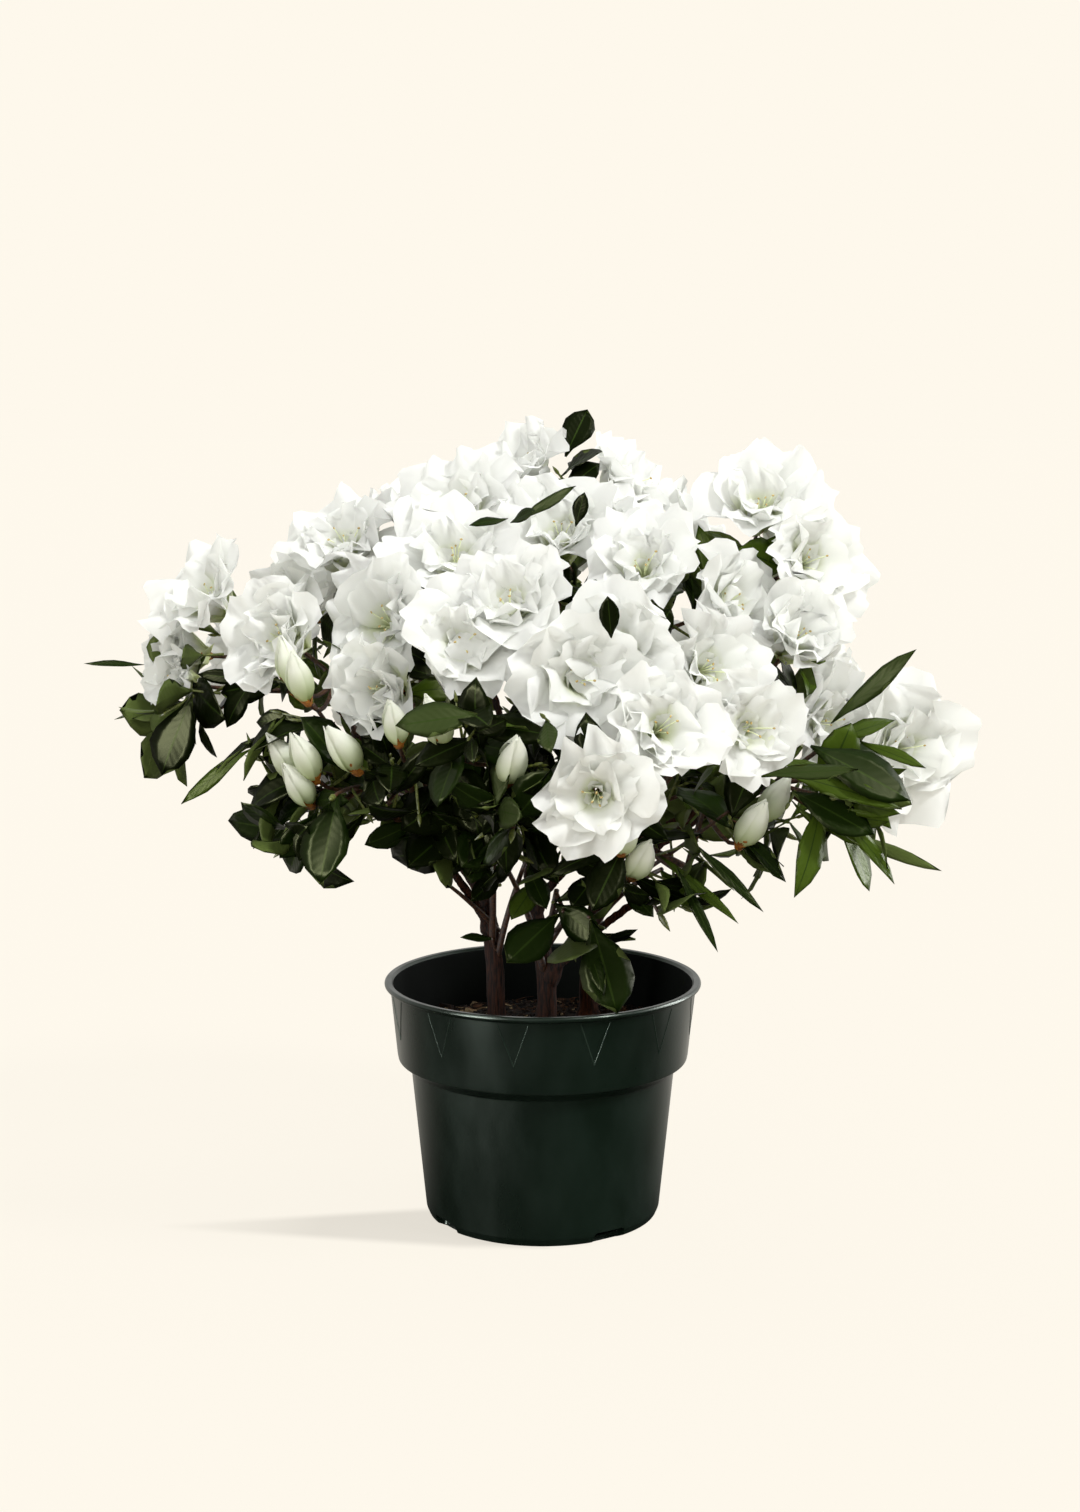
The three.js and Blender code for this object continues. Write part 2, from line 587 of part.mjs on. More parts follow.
// A mass's wood keeps clear of the wood of the masses before it, its foliage of all other wood and
// of the neighbours' spaces, and both of the stems and boughs.
function massSolid({ mass, grown, wood }, index) {
  const leaves = keptLeaves(mass, grown).map((place) => solidOf(shaped(new THREE.OctahedronGeometry(1), place)));
  const foliage = [...leaves, ...grown.blooms.map(bloomSolid), ...grown.buds.map(budSolid)];
  const woodBefore = grownMasses.slice(0, index).map((other) => other.woodRoom);
  const otherWood = grownMasses.filter((other) => other.mass !== mass).map((other) => other.woodRoom);
  const spaces = neighbours(mass).map((other) => beyond(mass, other));
  const kept = wood.subtract(fuse(woodBefore)).add(fuse(foliage).subtract(fuse([...spaces, ...otherWood])));
  return settled(mainPiece(kept.subtract(limbRoom)));
}

// ---- The whole plant -----------------------------------------------------------------------------------

const finish = (color, roughness) => new THREE.MeshStandardMaterial({ color, roughness, metalness: 0 });
const potPlastic = finish("#1c2a25", 0.42);
const pottingMix = finish("#2a1c14", 0.95);
const bark = finish("#4a2f24", 0.85);
const crown = finish("#e9ece4", 0.6);

const azalea = new THREE.Group();
function place(name, solid, material) {
  const mesh = new THREE.Mesh(geometryOf(solid), material);
  mesh.name = name;
  azalea.add(mesh);
}
place("pot", makePot(), potPlastic);
place("soil", makeSoil(), pottingMix);
stems.forEach((stem) => place(stem.name, stemShapes[stem.name].solid, bark));
boughs.forEach((bough, index) => place(bough.name, boughSolids[index], bark));
grownMasses.forEach((grown, index) => place(`mass_${grown.mass.name}`, massSolid(grown, index), crown));

export default azalea;
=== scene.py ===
# A white double-flowered azalea in its plastic nursery pot.
# The plant grows in millimetres, by the same seeded rule as its solids, and a mesh is made in metres.
# The front faces -Y.
import math

import bpy
import numpy as np
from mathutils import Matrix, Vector, noise


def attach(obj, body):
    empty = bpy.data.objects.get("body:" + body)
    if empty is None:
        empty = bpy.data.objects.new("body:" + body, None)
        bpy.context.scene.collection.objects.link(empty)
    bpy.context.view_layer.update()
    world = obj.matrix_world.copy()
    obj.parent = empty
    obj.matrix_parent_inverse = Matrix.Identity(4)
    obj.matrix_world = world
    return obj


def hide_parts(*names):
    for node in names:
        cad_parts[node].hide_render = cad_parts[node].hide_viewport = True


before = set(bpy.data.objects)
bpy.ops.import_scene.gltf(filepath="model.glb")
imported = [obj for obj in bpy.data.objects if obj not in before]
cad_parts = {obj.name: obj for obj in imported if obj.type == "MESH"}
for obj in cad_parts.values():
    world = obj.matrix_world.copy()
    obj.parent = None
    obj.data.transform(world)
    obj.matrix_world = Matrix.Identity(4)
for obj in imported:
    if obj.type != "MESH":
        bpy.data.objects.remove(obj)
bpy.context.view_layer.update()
print("frame loaded:", len(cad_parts), "nodes")

metres = 0.001  # in one millimetre
clearance = 0.3  # between one solid and the next

view = {"eye": (-0.00144, -1.2, 0.4198), "pitch": 8.407, "lens": 56.15, "sensor": 36}
studio = {
    "cream": "#fef8ec",
    "key": {"from": (0.75, -0.5, 1.0), "strength": 2.25, "angle": 12, "glossy": True},
    "side": {"from": (1.0, 0.1, 0.42), "strength": 0.9, "angle": 24, "glossy": True},
    "front": {"from": (-0.25, -1.0, 0.45), "strength": 1.05, "angle": 50, "glossy": False},
    "top": {"from": (-0.15, 0.1, 1.0), "strength": 0.65, "angle": 60, "glossy": False},
    "diffuseRoom": (0.62, 0.92),  # how bright the room is in front of the plant and behind it
    "glossyRoom": (0.03, 0.95),  # and as it shows in gloss
    "floorBounce": "#b5b0a4",
    "floorGloss": (0.02, 0.8),  # of the floor before and behind the pot, as it shows in gloss
    "shadowShare": 0.06,  # how far cast shadows darken the floor
    "floorLight": 0.62,  # makes up for the strength of the lights
    "room": "#fbfaf6",
    "roomTurn": (-0.3, 0.5),  # where the room turns from its front to its back
    "glossTurn": (-0.02, 0.25),  # where the floor does, in metres from the pot's middle
    # the soft wedge of painted shadow on the floor left of the pot, in metres
    "paintedFootShade": {"depth": 0.19, "from": -0.04, "fades": -0.115, "to": -0.205, "y": -0.026,
                  "half": 0.03, "soft": 0.012},
    # tall narrow panels: place, height, width and power
    "potStreak": ((-0.74, -0.67, 0.3), 1.1, 0.26, 40),
    "sideStreak": ((1.04, 0.38, 0.3), 0.9, 0.2, 18),
    "streakAim": (0, 0, 0.12),
}


def linearColour(hexColour):
    shares = [int(hexColour[i : i + 2], 16) / 255 for i in (1, 3, 5)]
    return [s / 12.92 if s <= 0.04045 else ((s + 0.055) / 1.055) ** 2.4 for s in shares] + [1]


# Adds a node. A setting is a socket's value, by name or number, or else a property of the node.
def addNode(tree, kind, settings=None, links=None):
    node = tree.nodes.new("ShaderNode" + kind)
    for name, value in (settings or {}).items():
        if isinstance(name, int) or name in node.inputs:
            node.inputs[name].default_value = value
        else:
            setattr(node, name, value)
    for name, source in (links or {}).items():
        tree.links.new(source, node.inputs[name])
    return node


def addCamera():
    turn = (math.radians(90 - view["pitch"]), 0, 0)
    bpy.ops.object.camera_add(location=view["eye"], rotation=turn)
    camera = bpy.context.object
    camera.data.lens = view["lens"]
    camera.data.sensor_width = view["sensor"]
    bpy.context.scene.camera = camera


def addSun(name):
    lamp = studio[name]
    bpy.ops.object.light_add(type="SUN", location=lamp["from"])
    sun = bpy.context.object
    sun.name = name + "Light"
    sun.rotation_euler = Vector(lamp["from"]).to_track_quat("Z", "Y").to_euler()
    sun.data.energy = lamp["strength"]
    sun.data.angle = math.radians(lamp["angle"])
    sun.visible_glossy = lamp["glossy"]


# A tall narrow panel that only shows as a soft streak in the gloss of the pot and leaves.
def addStreak(name):
    place, height, width, power = studio[name]
    bpy.ops.object.light_add(type="AREA", location=place)
    panel = bpy.context.object
    panel.name = name
    aim = Vector(place) - Vector(studio["streakAim"])
    panel.rotation_euler = aim.to_track_quat("Z", "Y").to_euler()
    panel.data.shape = "RECTANGLE"
    panel.data.size = width
    panel.data.size_y = height
    panel.data.energy = power
    panel.visible_diffuse = False


# Shows rays of one kind their own shader, and all others another.
def byRay(tree, kind, own, other):
    rays = addNode(tree, "LightPath")
    links = {0: rays.outputs[kind], 1: other.outputs[0], 2: own.outputs[0]}
    return addNode(tree, "MixShader", links=links)


# The camera sees an even cream; the plant is lit by a pale backdrop behind it and a dimmer room.
def lightRoom():
    world = bpy.data.worlds.new("studioRoom")
    bpy.context.scene.world = world
    world.use_nodes = True
    tree = world.node_tree
    direction = addNode(tree, "TexCoord").outputs["Generated"]
    parts = addNode(tree, "SeparateXYZ", links={"Vector": direction})
    front, back = studio["roomTurn"]
    rooms = []
    for room in ("diffuseRoom", "glossyRoom"):
        spread = {"From Min": front, "From Max": back, "To Min": studio[room][0], "To Max": studio[room][1]}
        strength = addNode(tree, "MapRange", spread, {"Value": parts.outputs["Y"]})
        colour = {"Color": linearColour(studio["room"])}
        rooms.append(addNode(tree, "Background", colour, {"Strength": strength.outputs[0]}))
    felt = byRay(tree, "Is Glossy Ray", rooms[1], rooms[0])
    seen = addNode(tree, "Background", {"Color": linearColour(studio["cream"]), "Strength": 1.0})
    both = byRay(tree, "Is Camera Ray", seen, felt)
    tree.links.new(both.outputs[0], tree.nodes["World Output"].inputs["Surface"])


def addFloor():
    bpy.ops.mesh.primitive_plane_add(size=60, location=(0, 0, -0.0002))
    floor = bpy.context.object
    floor.name = "studioFloor"
    material = bpy.data.materials.new("creamPaperSweep")
    material.use_nodes = True
    tree = material.node_tree
    tree.nodes.clear()
    cream = linearColour(studio["cream"])
    # a painted shadow: the floor's cream glow is dimmed in a soft wedge left of the pot, fading out to the
    # left
    shade = studio["paintedFootShade"]
    place = addNode(tree, "SeparateXYZ", links={"Vector": addNode(tree, "TexCoord").outputs["Object"]})
    x, y = place.outputs[0], place.outputs[1]
    narrowing = {"From Min": shade["to"], "From Max": shade["from"], "To Max": shade["half"]}
    reach = addNode(tree, "MapRange", narrowing, {"Value": x})
    fade = addNode(tree, "MapRange", {"From Min": shade["to"], "From Max": shade["fades"]}, {"Value": x})
    aside = addNode(tree, "Math", {"operation": "SUBTRACT", 1: shade["y"]}, {0: y})
    distance = addNode(tree, "Math", {"operation": "ABSOLUTE"}, {0: aside.outputs[0]})
    inside = addNode(tree, "Math", {"operation": "SUBTRACT"}, {0: reach.outputs[0], 1: distance.outputs[0]})
    leftOnly = addNode(tree, "Math", {"operation": "MULTIPLY", 1: -1.0}, {0: x})
    within = addNode(tree, "Math", {"operation": "MINIMUM"}, {0: inside.outputs[0], 1: leftOnly.outputs[0]})
    blur = shade["soft"] / 2
    soft = {"From Min": -blur, "From Max": blur, "interpolation_type": "SMOOTHSTEP"}
    edge = addNode(tree, "MapRange", soft, {"Value": within.outputs[0]})
    dark = addNode(tree, "Math", {"operation": "MULTIPLY"}, {0: edge.outputs[0], 1: fade.outputs[0]})
    lit = 1 - studio["shadowShare"]
    level = {"To Min": lit, "To Max": lit - shade["depth"]}
    strength = addNode(tree, "MapRange", level, {"Value": dark.outputs[0]})
    glow = addNode(tree, "Emission", {"Color": cream}, {"Strength": strength.outputs[0]})
    faint = [studio["shadowShare"] * c * studio["floorLight"] for c in cream[:3]]
    paper = addNode(tree, "BsdfDiffuse", {"Color": faint + [1]})
    seen = addNode(tree, "AddShader", links={0: glow.outputs[0], 1: paper.outputs[0]})
    bounce = addNode(tree, "BsdfDiffuse", {"Color": linearColour(studio["floorBounce"])})
    low, high = studio["floorGloss"]
    front, back = studio["glossTurn"]
    behind = {"From Min": front, "From Max": back, "To Min": low, "To Max": high}
    sheen = addNode(tree, "MapRange", behind, {"Value": y})
    dim = addNode(tree, "Emission", {"Color": cream}, {"Strength": sheen.outputs[0]})
    both = byRay(tree, "Is Camera Ray", seen, byRay(tree, "Is Glossy Ray", dim, bounce))
    output = addNode(tree, "OutputMaterial")
    tree.links.new(both.outputs[0], output.inputs["Surface"])
    floor.data.materials.append(material)


addCamera()
for lampName in ("key", "side", "front", "top"):
    addSun(lampName)
addStreak("potStreak")
addStreak("sideStreak")
lightRoom()
addFloor()
bpy.context.scene.view_settings.view_transform = "Standard"
print("camera, light and floor ready")


def newMaterial(name, settings):
    material = bpy.data.materials.new(name)
    material.use_nodes = True
    tree = material.node_tree
    shader = tree.nodes["Principled BSDF"]
    for socket, value in settings.items():
        shader.inputs[socket].default_value = value
    return material, tree, shader


# Noise whose grain is a size in millimetres, on the object's own coordinates or the piece's map.
def grain(tree, size, detail=3, stretch=(1, 1, 1), source="Object"):
    place = addNode(tree, "TexCoord").outputs[source]
    perUnit = 1 / (size * metres) if source == "Object" else 1 / size
    mapped = addNode(tree, "Mapping", {"Scale": stretch}, {"Vector": place})
    return addNode(tree, "TexNoise", {"Scale": perUnit, "Detail": detail}, {"Vector": mapped.outputs[0]})


def mixColours(tree, factor, low, high, start=0.35, end=0.65):
    shares = {"From Min": start, "From Max": end}
    spread = addNode(tree, "MapRange", shares, {"Value": factor})
    settings = {"data_type": "RGBA", 6: linearColour(low), 7: linearColour(high)}
    return addNode(tree, "Mix", settings, {0: spread.outputs[0]}).outputs[2]


# Injection-moulded polypropylene, dark green: semi-gloss, with a faint orange-peel and dry scuffs.
def mouldedPolypropylene(name, low, high, shine=(0.27, 0.42), level=0.5):
    settings = {"IOR": 1.49, "Specular IOR Level": level, "Specular Tint": linearColour("#dcebde")}
    material, tree, shader = newMaterial(name, settings)
    scuff = grain(tree, 26, 6, (1, 1, 0.45))
    colour = mixColours(tree, scuff.outputs[0], low, high, 0.42, 0.72)
    tree.links.new(colour, shader.inputs["Base Color"])
    gloss = {"From Min": 0.35, "From Max": 0.75, "To Min": shine[0], "To Max": shine[1]}
    rough = addNode(tree, "MapRange", gloss, {"Value": scuff.outputs[0]})
    tree.links.new(rough.outputs[0], shader.inputs["Roughness"])
    peel = {"Height": grain(tree, 1.6, 2).outputs[0]}
    bump = addNode(tree, "Bump", {"Distance": 0.05 * metres, "Strength": 0.5}, peel)
    tree.links.new(bump.outputs[0], shader.inputs["Normal"])
    return material


# A plant's or soil's skin: its colour turns from low to high with a grain in millimetres, which
# stands up by the relief.
def grainedSkin(name, low, high, look):
    material, tree, shader = newMaterial(name, look["settings"])
    spots = grain(tree, look["size"], look["detail"], look.get("stretch", (1, 1, 1))).outputs[0]
    colour = mixColours(tree, spots, low, high, *look.get("spread", (0.35, 0.65)))
    tree.links.new(colour, shader.inputs["Base Color"])
    if "relief" in look:
        bump = addNode(tree, "Bump", {"Distance": look["relief"] * metres}, {"Height": spots})
        tree.links.new(bump.outputs[0], shader.inputs["Normal"])
    return material


# Peat potting mix, damp: near black between its fibres, brown where they are dry. Matt.
pottingPeat = {"settings": {"Roughness": 0.95, "Specular IOR Level": 0.1}, "size": 3.2, "detail": 6,
               "spread": (0.4, 0.68), "relief": 1.2}
# Azalea bark: thin, reddish brown and fibrous, peeling in long strips. Matt.
fibrousBark = {"settings": {"Roughness": 0.9, "Specular IOR Level": 0.15}, "size": 1.1, "detail": 5,
               "stretch": (1, 1, 0.12), "spread": (0.36, 0.7), "relief": 0.5}
# This year's twig: smooth and slightly shiny, green or turning brown.
twigSkin = {"settings": {"Roughness": 0.55, "IOR": 1.45}, "size": 1.4, "detail": 3, "relief": 0.15}
# The dry bud scales that stay under a bloom: papery and orange brown.
dryScale = {"settings": {"Roughness": 0.6, "IOR": 1.45}, "size": 2.5, "detail": 3}


# An evergreen azalea leaf: leathery, with a waxy cuticle that shines over slanting side veins.
leafWax = {"IOR": 1.37, "Specular IOR Level": 0.22, "Specular Tint": linearColour("#e3e6b0")}
sideVeins = {"slant": -0.2, "pace": 62, "relief": 0.045}


def leafBlade(name, colour, roughness=0.38):
    settings = {"Base Color": linearColour(colour), "Roughness": roughness, **leafWax}
    material, tree, shader = newMaterial(name, settings)
    place = addNode(tree, "SeparateXYZ", links={"Vector": addNode(tree, "TexCoord").outputs["UV"]})
    aside = addNode(tree, "Math", {"operation": "ABSOLUTE"}, {0: place.outputs[1]})
    slant = {"operation": "MULTIPLY_ADD", 1: sideVeins["slant"]}
    rise = addNode(tree, "Math", slant, {0: aside.outputs[0], 2: place.outputs[0]})
    pace = addNode(tree, "Math", {"operation": "MULTIPLY", 1: sideVeins["pace"]}, {0: rise.outputs[0]})
    veins = addNode(tree, "Math", {"operation": "SINE"}, {0: pace.outputs[0]})
    raised = {"Distance": sideVeins["relief"] * metres, "Strength": 0.5}
    bump = addNode(tree, "Bump", raised, {"Height": veins.outputs[0]})
    tree.links.new(bump.outputs[0], shader.inputs["Normal"])
    return material


# A petal: thin, soft and slightly translucent, with creases that fan out from its base. Its colour
# turns from base to blade between two shares of its length.
petalLook = {"crease": 0.14, "stretch": (1, 0.16, 1), "relief": 0.3, "glow": 0.42}


def petalSkin(name, base, blade, start, end):
    material, tree, shader = newMaterial(name, {"Roughness": 0.6, "IOR": 1.38})
    place = addNode(tree, "SeparateXYZ", links={"Vector": addNode(tree, "TexCoord").outputs["UV"]})
    colour = mixColours(tree, place.outputs[1], base, blade, start, end)
    tree.links.new(colour, shader.inputs["Base Color"])
    creases = grain(tree, petalLook["crease"], 3, petalLook["stretch"], "UV")
    raised = {"Distance": petalLook["relief"] * metres, "Strength": 0.35}
    bump = addNode(tree, "Bump", raised, {"Height": creases.outputs[0]})
    tree.links.new(bump.outputs[0], shader.inputs["Normal"])
    glow = addNode(tree, "BsdfTranslucent", links={"Color": colour})
    mixed = addNode(tree, "MixShader", {0: petalLook["glow"]}, {1: shader.outputs[0], 2: glow.outputs[0]})
    tree.links.new(mixed.outputs[0], tree.nodes["Material Output"].inputs["Surface"])
    return material


potPlastic = mouldedPolypropylene("mouldedPolypropylene", "#0b160f", "#111e17")
# the raised V marks: a lighter green than the pot
lighterMarkPlastic = mouldedPolypropylene("lighterMarkPolypropylene", "#16231c", "#243129")
# the inside of the pot: matt with dust, and near black as painted shade
dustAndShadePlastic = mouldedPolypropylene("dustAndShadePolypropylene", "#020302", "#040605", (0.8, 0.95), 0.08)
peat = grainedSkin("pottingPeat", "#080604", "#2b1c11", pottingPeat)
barkChip = grainedSkin("barkChip", "#20150d", "#4f3421", pottingPeat)
paleFibre = grainedSkin("paleFibre", "#5b4933", "#9a8767", pottingPeat)
bark = grainedSkin("fibrousBark", "#120602", "#432211", fibrousBark)
brownTwig = grainedSkin("brownTwig", "#2a180f", "#56361f", twigSkin)
greenTwig = grainedSkin("greenTwig", "#465020", "#6d7433", twigSkin)
darkBlade = leafBlade("darkBlade", "#0c1403")
midBlade = leafBlade("midBlade", "#152306")
freshBlade = leafBlade("freshBlade", "#3a4c12", 0.42)
greyBlade = leafBlade("greyBlade", "#2c3818", 0.45)
bladeUnder = leafBlade("paleUnderside", "#4c592b", 0.6)
midrib = leafBlade("midrib", "#26370f", 0.45)
leafSkins = [darkBlade, midBlade, freshBlade, greyBlade, bladeUnder, midrib]
petalSkins = [
    petalSkin("outerPetal", "#dfe7ae", "#f6f7f4", 0.04, 0.4),
    petalSkin("innerPetal", "#d9e3a0", "#f6f7f4", 0.08, 0.6),
    petalSkin("budPetal", "#a9bd63", "#f4f6ec", 0.0, 0.72),
]
filament = grainedSkin("paleFilament", "#dfe7b4", "#eef2cf", twigSkin)
anther = grainedSkin("paleAnther", "#a78d52", "#cdb779", twigSkin)
scaleSkin = grainedSkin("dryBudScale", "#7c430f", "#b97724", dryScale)
print("materials ready")


# Loose shapes gather in a heap, which becomes one mesh.
def newHeap():
    return {"points": [], "quads": [], "slots": [], "grids": [], "size": 0}


def heapUp(heap, points, quads, slot=0, grid=None):
    heap["points"].append(points)
    heap["quads"].append(quads + heap["size"])
    heap["slots"].append(np.broadcast_to(slot, len(quads)))
    heap["grids"].append(np.zeros((len(points), 2)) if grid is None else grid)
    heap["size"] += len(points)


def heapMesh(name, heap, quads):
    mesh = bpy.data.meshes.new(name)
    mesh.from_pydata((np.concatenate(heap["points"]) * metres).tolist(), [], quads.tolist())
    piece = bpy.data.objects.new(name, mesh)
    bpy.context.scene.collection.objects.link(piece)
    return piece


def makePiece(name, heap, materials, nodes=()):
    quads = np.concatenate(heap["quads"])
    piece = heapMesh(name, heap, quads)
    mesh = piece.data
    for material in materials:
        mesh.materials.append(material)
    mesh.polygons.foreach_set("material_index", np.concatenate(heap["slots"]).astype(np.int32))
    mesh.polygons.foreach_set("use_smooth", np.ones(len(quads), bool))
    layer = mesh.uv_layers.new(name="grownMap")
    layer.data.foreach_set("uv", np.concatenate(heap["grids"])[quads.ravel()].astype(np.float32).ravel())
    mesh.update()
    finishPiece(piece, nodes)


def finishPiece(piece, nodes=()):
    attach(piece, "root")
    if nodes:
        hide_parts(*nodes)
    print(piece.name, sum(len(face.vertices) - 2 for face in piece.data.polygons), "triangles")


# A grid added as a primitive and read back: its columns from -1 to 1, its rows from 0 to 1.
def gridSheet(columns, rows):
    bpy.ops.mesh.primitive_grid_add(x_subdivisions=columns, y_subdivisions=rows, size=2)
    sheet = bpy.context.object
    corners = np.array([vertex.co[:2] for vertex in sheet.data.vertices])
    quads = np.array([list(face.vertices) for face in sheet.data.polygons])
    bpy.data.objects.remove(sheet)
    return corners[:, 0], (corners[:, 1] + 1) / 2, quads


# A closed tube of an even number of sides along points, each with its radius.
def tube(points, radii, sides=6):
    path = np.array([tuple(point) for point in points])
    ahead = np.gradient(path, axis=0)
    ahead /= np.linalg.norm(ahead, axis=1)[:, None]
    side = np.cross(ahead[0], (0, 0, 1) if abs(ahead[0][2]) < 0.9 else (1, 0, 0))
    rings = []
    turns = np.arange(sides) * 2 * math.pi / sides
    for place, direction, radius in zip(path, ahead, radii):
        side = side - direction * side.dot(direction)
        side /= np.linalg.norm(side)
        other = np.cross(direction, side)
        rings.append(place + radius * (np.outer(np.cos(turns), side) + np.outer(np.sin(turns), other)))
    count = len(path)
    k, j = np.meshgrid(np.arange(sides), np.arange(count - 1))
    k, j = k.ravel(), j.ravel()
    following = (k + 1) % sides
    low, high = j * sides, (j + 1) * sides
    walls = np.stack([low + k, low + following, high + following, high + k], 1)
    ladder = np.array([[i, i + 1, sides - 2 - i, sides - 1 - i] for i in range(sides // 2 - 1)])
    ends = np.concatenate([ladder[:, ::-1], ladder + (count - 1) * sides])
    grid = np.stack(np.broadcast_arrays(turns[None, :] / 2 / math.pi, np.arange(count)[:, None]), -1)
    return np.concatenate(rings), np.concatenate([walls, ends]), grid.reshape(-1, 2)


def heapTube(heap, path, radii, sides=6, slot=0):
    heapUp(heap, *tube(path, radii, sides)[:2], slot)


# Deselects everything, and then picks one object where there is one.
def pick(only=None):
    for other in bpy.context.selected_objects:
        other.select_set(False)
    if only:
        only.select_set(True)
        bpy.context.view_layer.objects.active = only


def applyModifier(piece, kind, settings):
    modifier = piece.modifiers.new(kind.lower(), kind)
    for name, value in settings.items():
        setattr(modifier, name, value)
    bpy.context.view_layer.objects.active = piece
    bpy.ops.object.modifier_apply(modifier=modifier.name)


# Where each kind of growth starts counting its seeds. A mass's own is its number, from 1.
seeds = {"crumbs": 501, "finer": 700, "leaves": 2000, "placed": 2900, "blooms": 3000, "budScales": 4000,
         "buds": 5000}


def seededChance(seed):
    state = seed * 7919 + 17

    def draw():
        nonlocal state
        state = (state * 16807) % 2147483647
        return state / 2147483647

    return draw


def between(chance, low, high):
    return low + (high - low) * chance()


pot = {
    "sides": 144,
    # (radius, height) up the outside, over the lip and down the inside
    "foot": (56.3, 0),
    "profile": [
        (59.8, 1.5), (61.3, 5), (68.8, 79.5), (75.4, 84.4), (75.9, 87), (79.4, 122), (82.2, 123),
        (82.5, 124.2), (81.7, 125.4), (79, 125.3), (77.7, 123.5), (74.1, 87.5), (67.1, 79.5),
        (59.6, 7.4), (54.6, 2.4),
    ],
    "edge": {"width": 0.5 * metres, "segments": 3, "angle_limit": math.radians(12), "harden_normals": True},
    "baseRadius": 61.3,
    "dustAndShadeTop": 124,  # below it the inside of the wall is dull with dust and near black with painted shade
    "slot": {"count": 4, "first": -146, "depth": 14, "width": 19, "height": 7, "round": 2.2},
    "marks": {"count": 12, "first": -100.8, "halfWidth": 7.8, "top": 120.8, "apex": 99, "bar": 0.36,
              "relief": 0.22},
}
soil = {
    "sides": 96,
    "foot": (60, 8),
    "profile": [(66.8, 80), (73.6, 88.3), (73.8, 95)],
    "rings": 26,
    "moundHeight": 99.5,
    "moundRadius": 46,
    "relief": 1.6,
    "lumps": ((14, 1), (5, 0.6), (2, 0.35)),  # their sizes, and how high each stands
    "crumbs": 1500,
    "crumbSize": (0.7, 1.3),
    "large": (0.08, 2.6),  # the share of larger crumbs, and how much larger they are
    "crumbStretch": ((0.5, 1.4), (0.4, 1), (0.3, 0.7)),
    "skew": 0.3,
    "kinds": (0.62, 0.93, 1),  # shares of peat, chips of bark and fibres, added up
    "slivers": 130,
    "sliverLength": (3, 11),
    "sliverRadii": (0.3, 0.42, 0.2),
}


# Raises a ring from a flat n-gon by extruding and scaling it through the stations of a profile.
def raiseProfile(name, sides, foot, profile):
    radius, height = foot
    place = (0, 0, height * metres)
    size = radius * metres
    bpy.ops.mesh.primitive_circle_add(vertices=sides, radius=size, fill_type="NGON", location=place)
    raised = bpy.context.object
    raised.name = raised.data.name = name
    bpy.ops.object.mode_set(mode="EDIT")
    bpy.ops.mesh.select_all(action="SELECT")
    for nextRadius, nextHeight in profile:
        rise = (0, 0, (nextHeight - height) * metres)
        bpy.ops.mesh.extrude_region_move(TRANSFORM_OT_translate={"value": rise})
        share = nextRadius / radius
        middle = (0, 0, nextHeight * metres)
        bpy.ops.transform.resize(value=(share, share, 1), center_override=middle)
        radius, height = nextRadius, nextHeight
    return raised


def closeUp():
    bpy.ops.mesh.select_all(action="SELECT")
    bpy.ops.mesh.normals_make_consistent(inside=False)
    bpy.ops.object.mode_set(mode="OBJECT")
    bpy.ops.object.transform_apply(location=True, rotation=True, scale=True)


def makePot():
    pick()
    piece = raiseProfile("mouldedPot", pot["sides"], pot["foot"], pot["profile"])
    closeUp()
    bpy.ops.object.shade_smooth()
    applyModifier(piece, "BEVEL", pot["edge"])
    slot = pot["slot"]
    reach = pot["baseRadius"] * metres
    for k in range(slot["count"]):
        pick()
        turn = math.radians(slot["first"] + 360 * k / slot["count"])
        bpy.ops.mesh.primitive_cube_add(
            size=1,
            location=(reach * math.cos(turn), reach * math.sin(turn), (slot["height"] / 2 - 0.5) * metres),
            rotation=(0, 0, turn),
            scale=[slot[side] * metres for side in ("depth", "width", "height")],
        )
        cutter = bpy.context.object
        bpy.ops.object.transform_apply(location=True, rotation=True, scale=True)
        applyModifier(cutter, "BEVEL", {"width": slot["round"] * metres, "segments": 4})
        applyModifier(piece, "BOOLEAN", {"object": cutter})
        bpy.data.objects.remove(cutter)
    for skin in (potPlastic, dustAndShadePlastic):
        piece.data.materials.append(skin)
    # inward faces below the lip take the inside plastic, whose near-black colour is painted shade
    for face in piece.data.polygons:
        faceAxis = face.center.xy.normalized()
        isInside = faceAxis.dot(face.normal.xy) < -0.3 and face.center.z < pot["dustAndShadeTop"] * metres
        face.material_index = int(isInside)
    finishPiece(piece, ["pot"])


# Raised V marks round the collar, which lies on a cone.
def makeMarks():
    marks = pot["marks"]
    (lowRadius, lowHeight), (topRadius, topHeight) = pot["profile"][4:6]
    across, along, quads = gridSheet(4, 12)
    crown = marks["relief"] * np.clip(1.6 - 1.8 * np.abs(across), -0.3, 1)
    heap = newHeap()
    for k in range(marks["count"]):
        middle = math.radians(marks["first"] + 360 * k / marks["count"])
        for side in (-1, 1):
            height = marks["apex"] + (marks["top"] - marks["apex"]) * along
            sideways = side * marks["halfWidth"] * along + across * marks["bar"]
            share = (height - lowHeight) / (topHeight - lowHeight)
            radius = lowRadius + (topRadius - lowRadius) * share + crown
            turn = middle + sideways / radius
            points = np.stack([radius * np.cos(turn), radius * np.sin(turn), height], 1)
            heapUp(heap, points, quads)
    makePiece("potMarks", heap, [lighterMarkPlastic])


def groundHeight(x, y):
    reach = math.hypot(x, y)
    edge = soil["profile"][-1]
    slope = min(1, max(0, (reach - soil["moundRadius"]) / (edge[0] - soil["moundRadius"])))
    lumps = sum(share * noise.noise(Vector((x, y, 0)) / size) for size, share in soil["lumps"])
    return soil["moundHeight"] + (edge[1] - soil["moundHeight"]) * slope + soil["relief"] * lumps


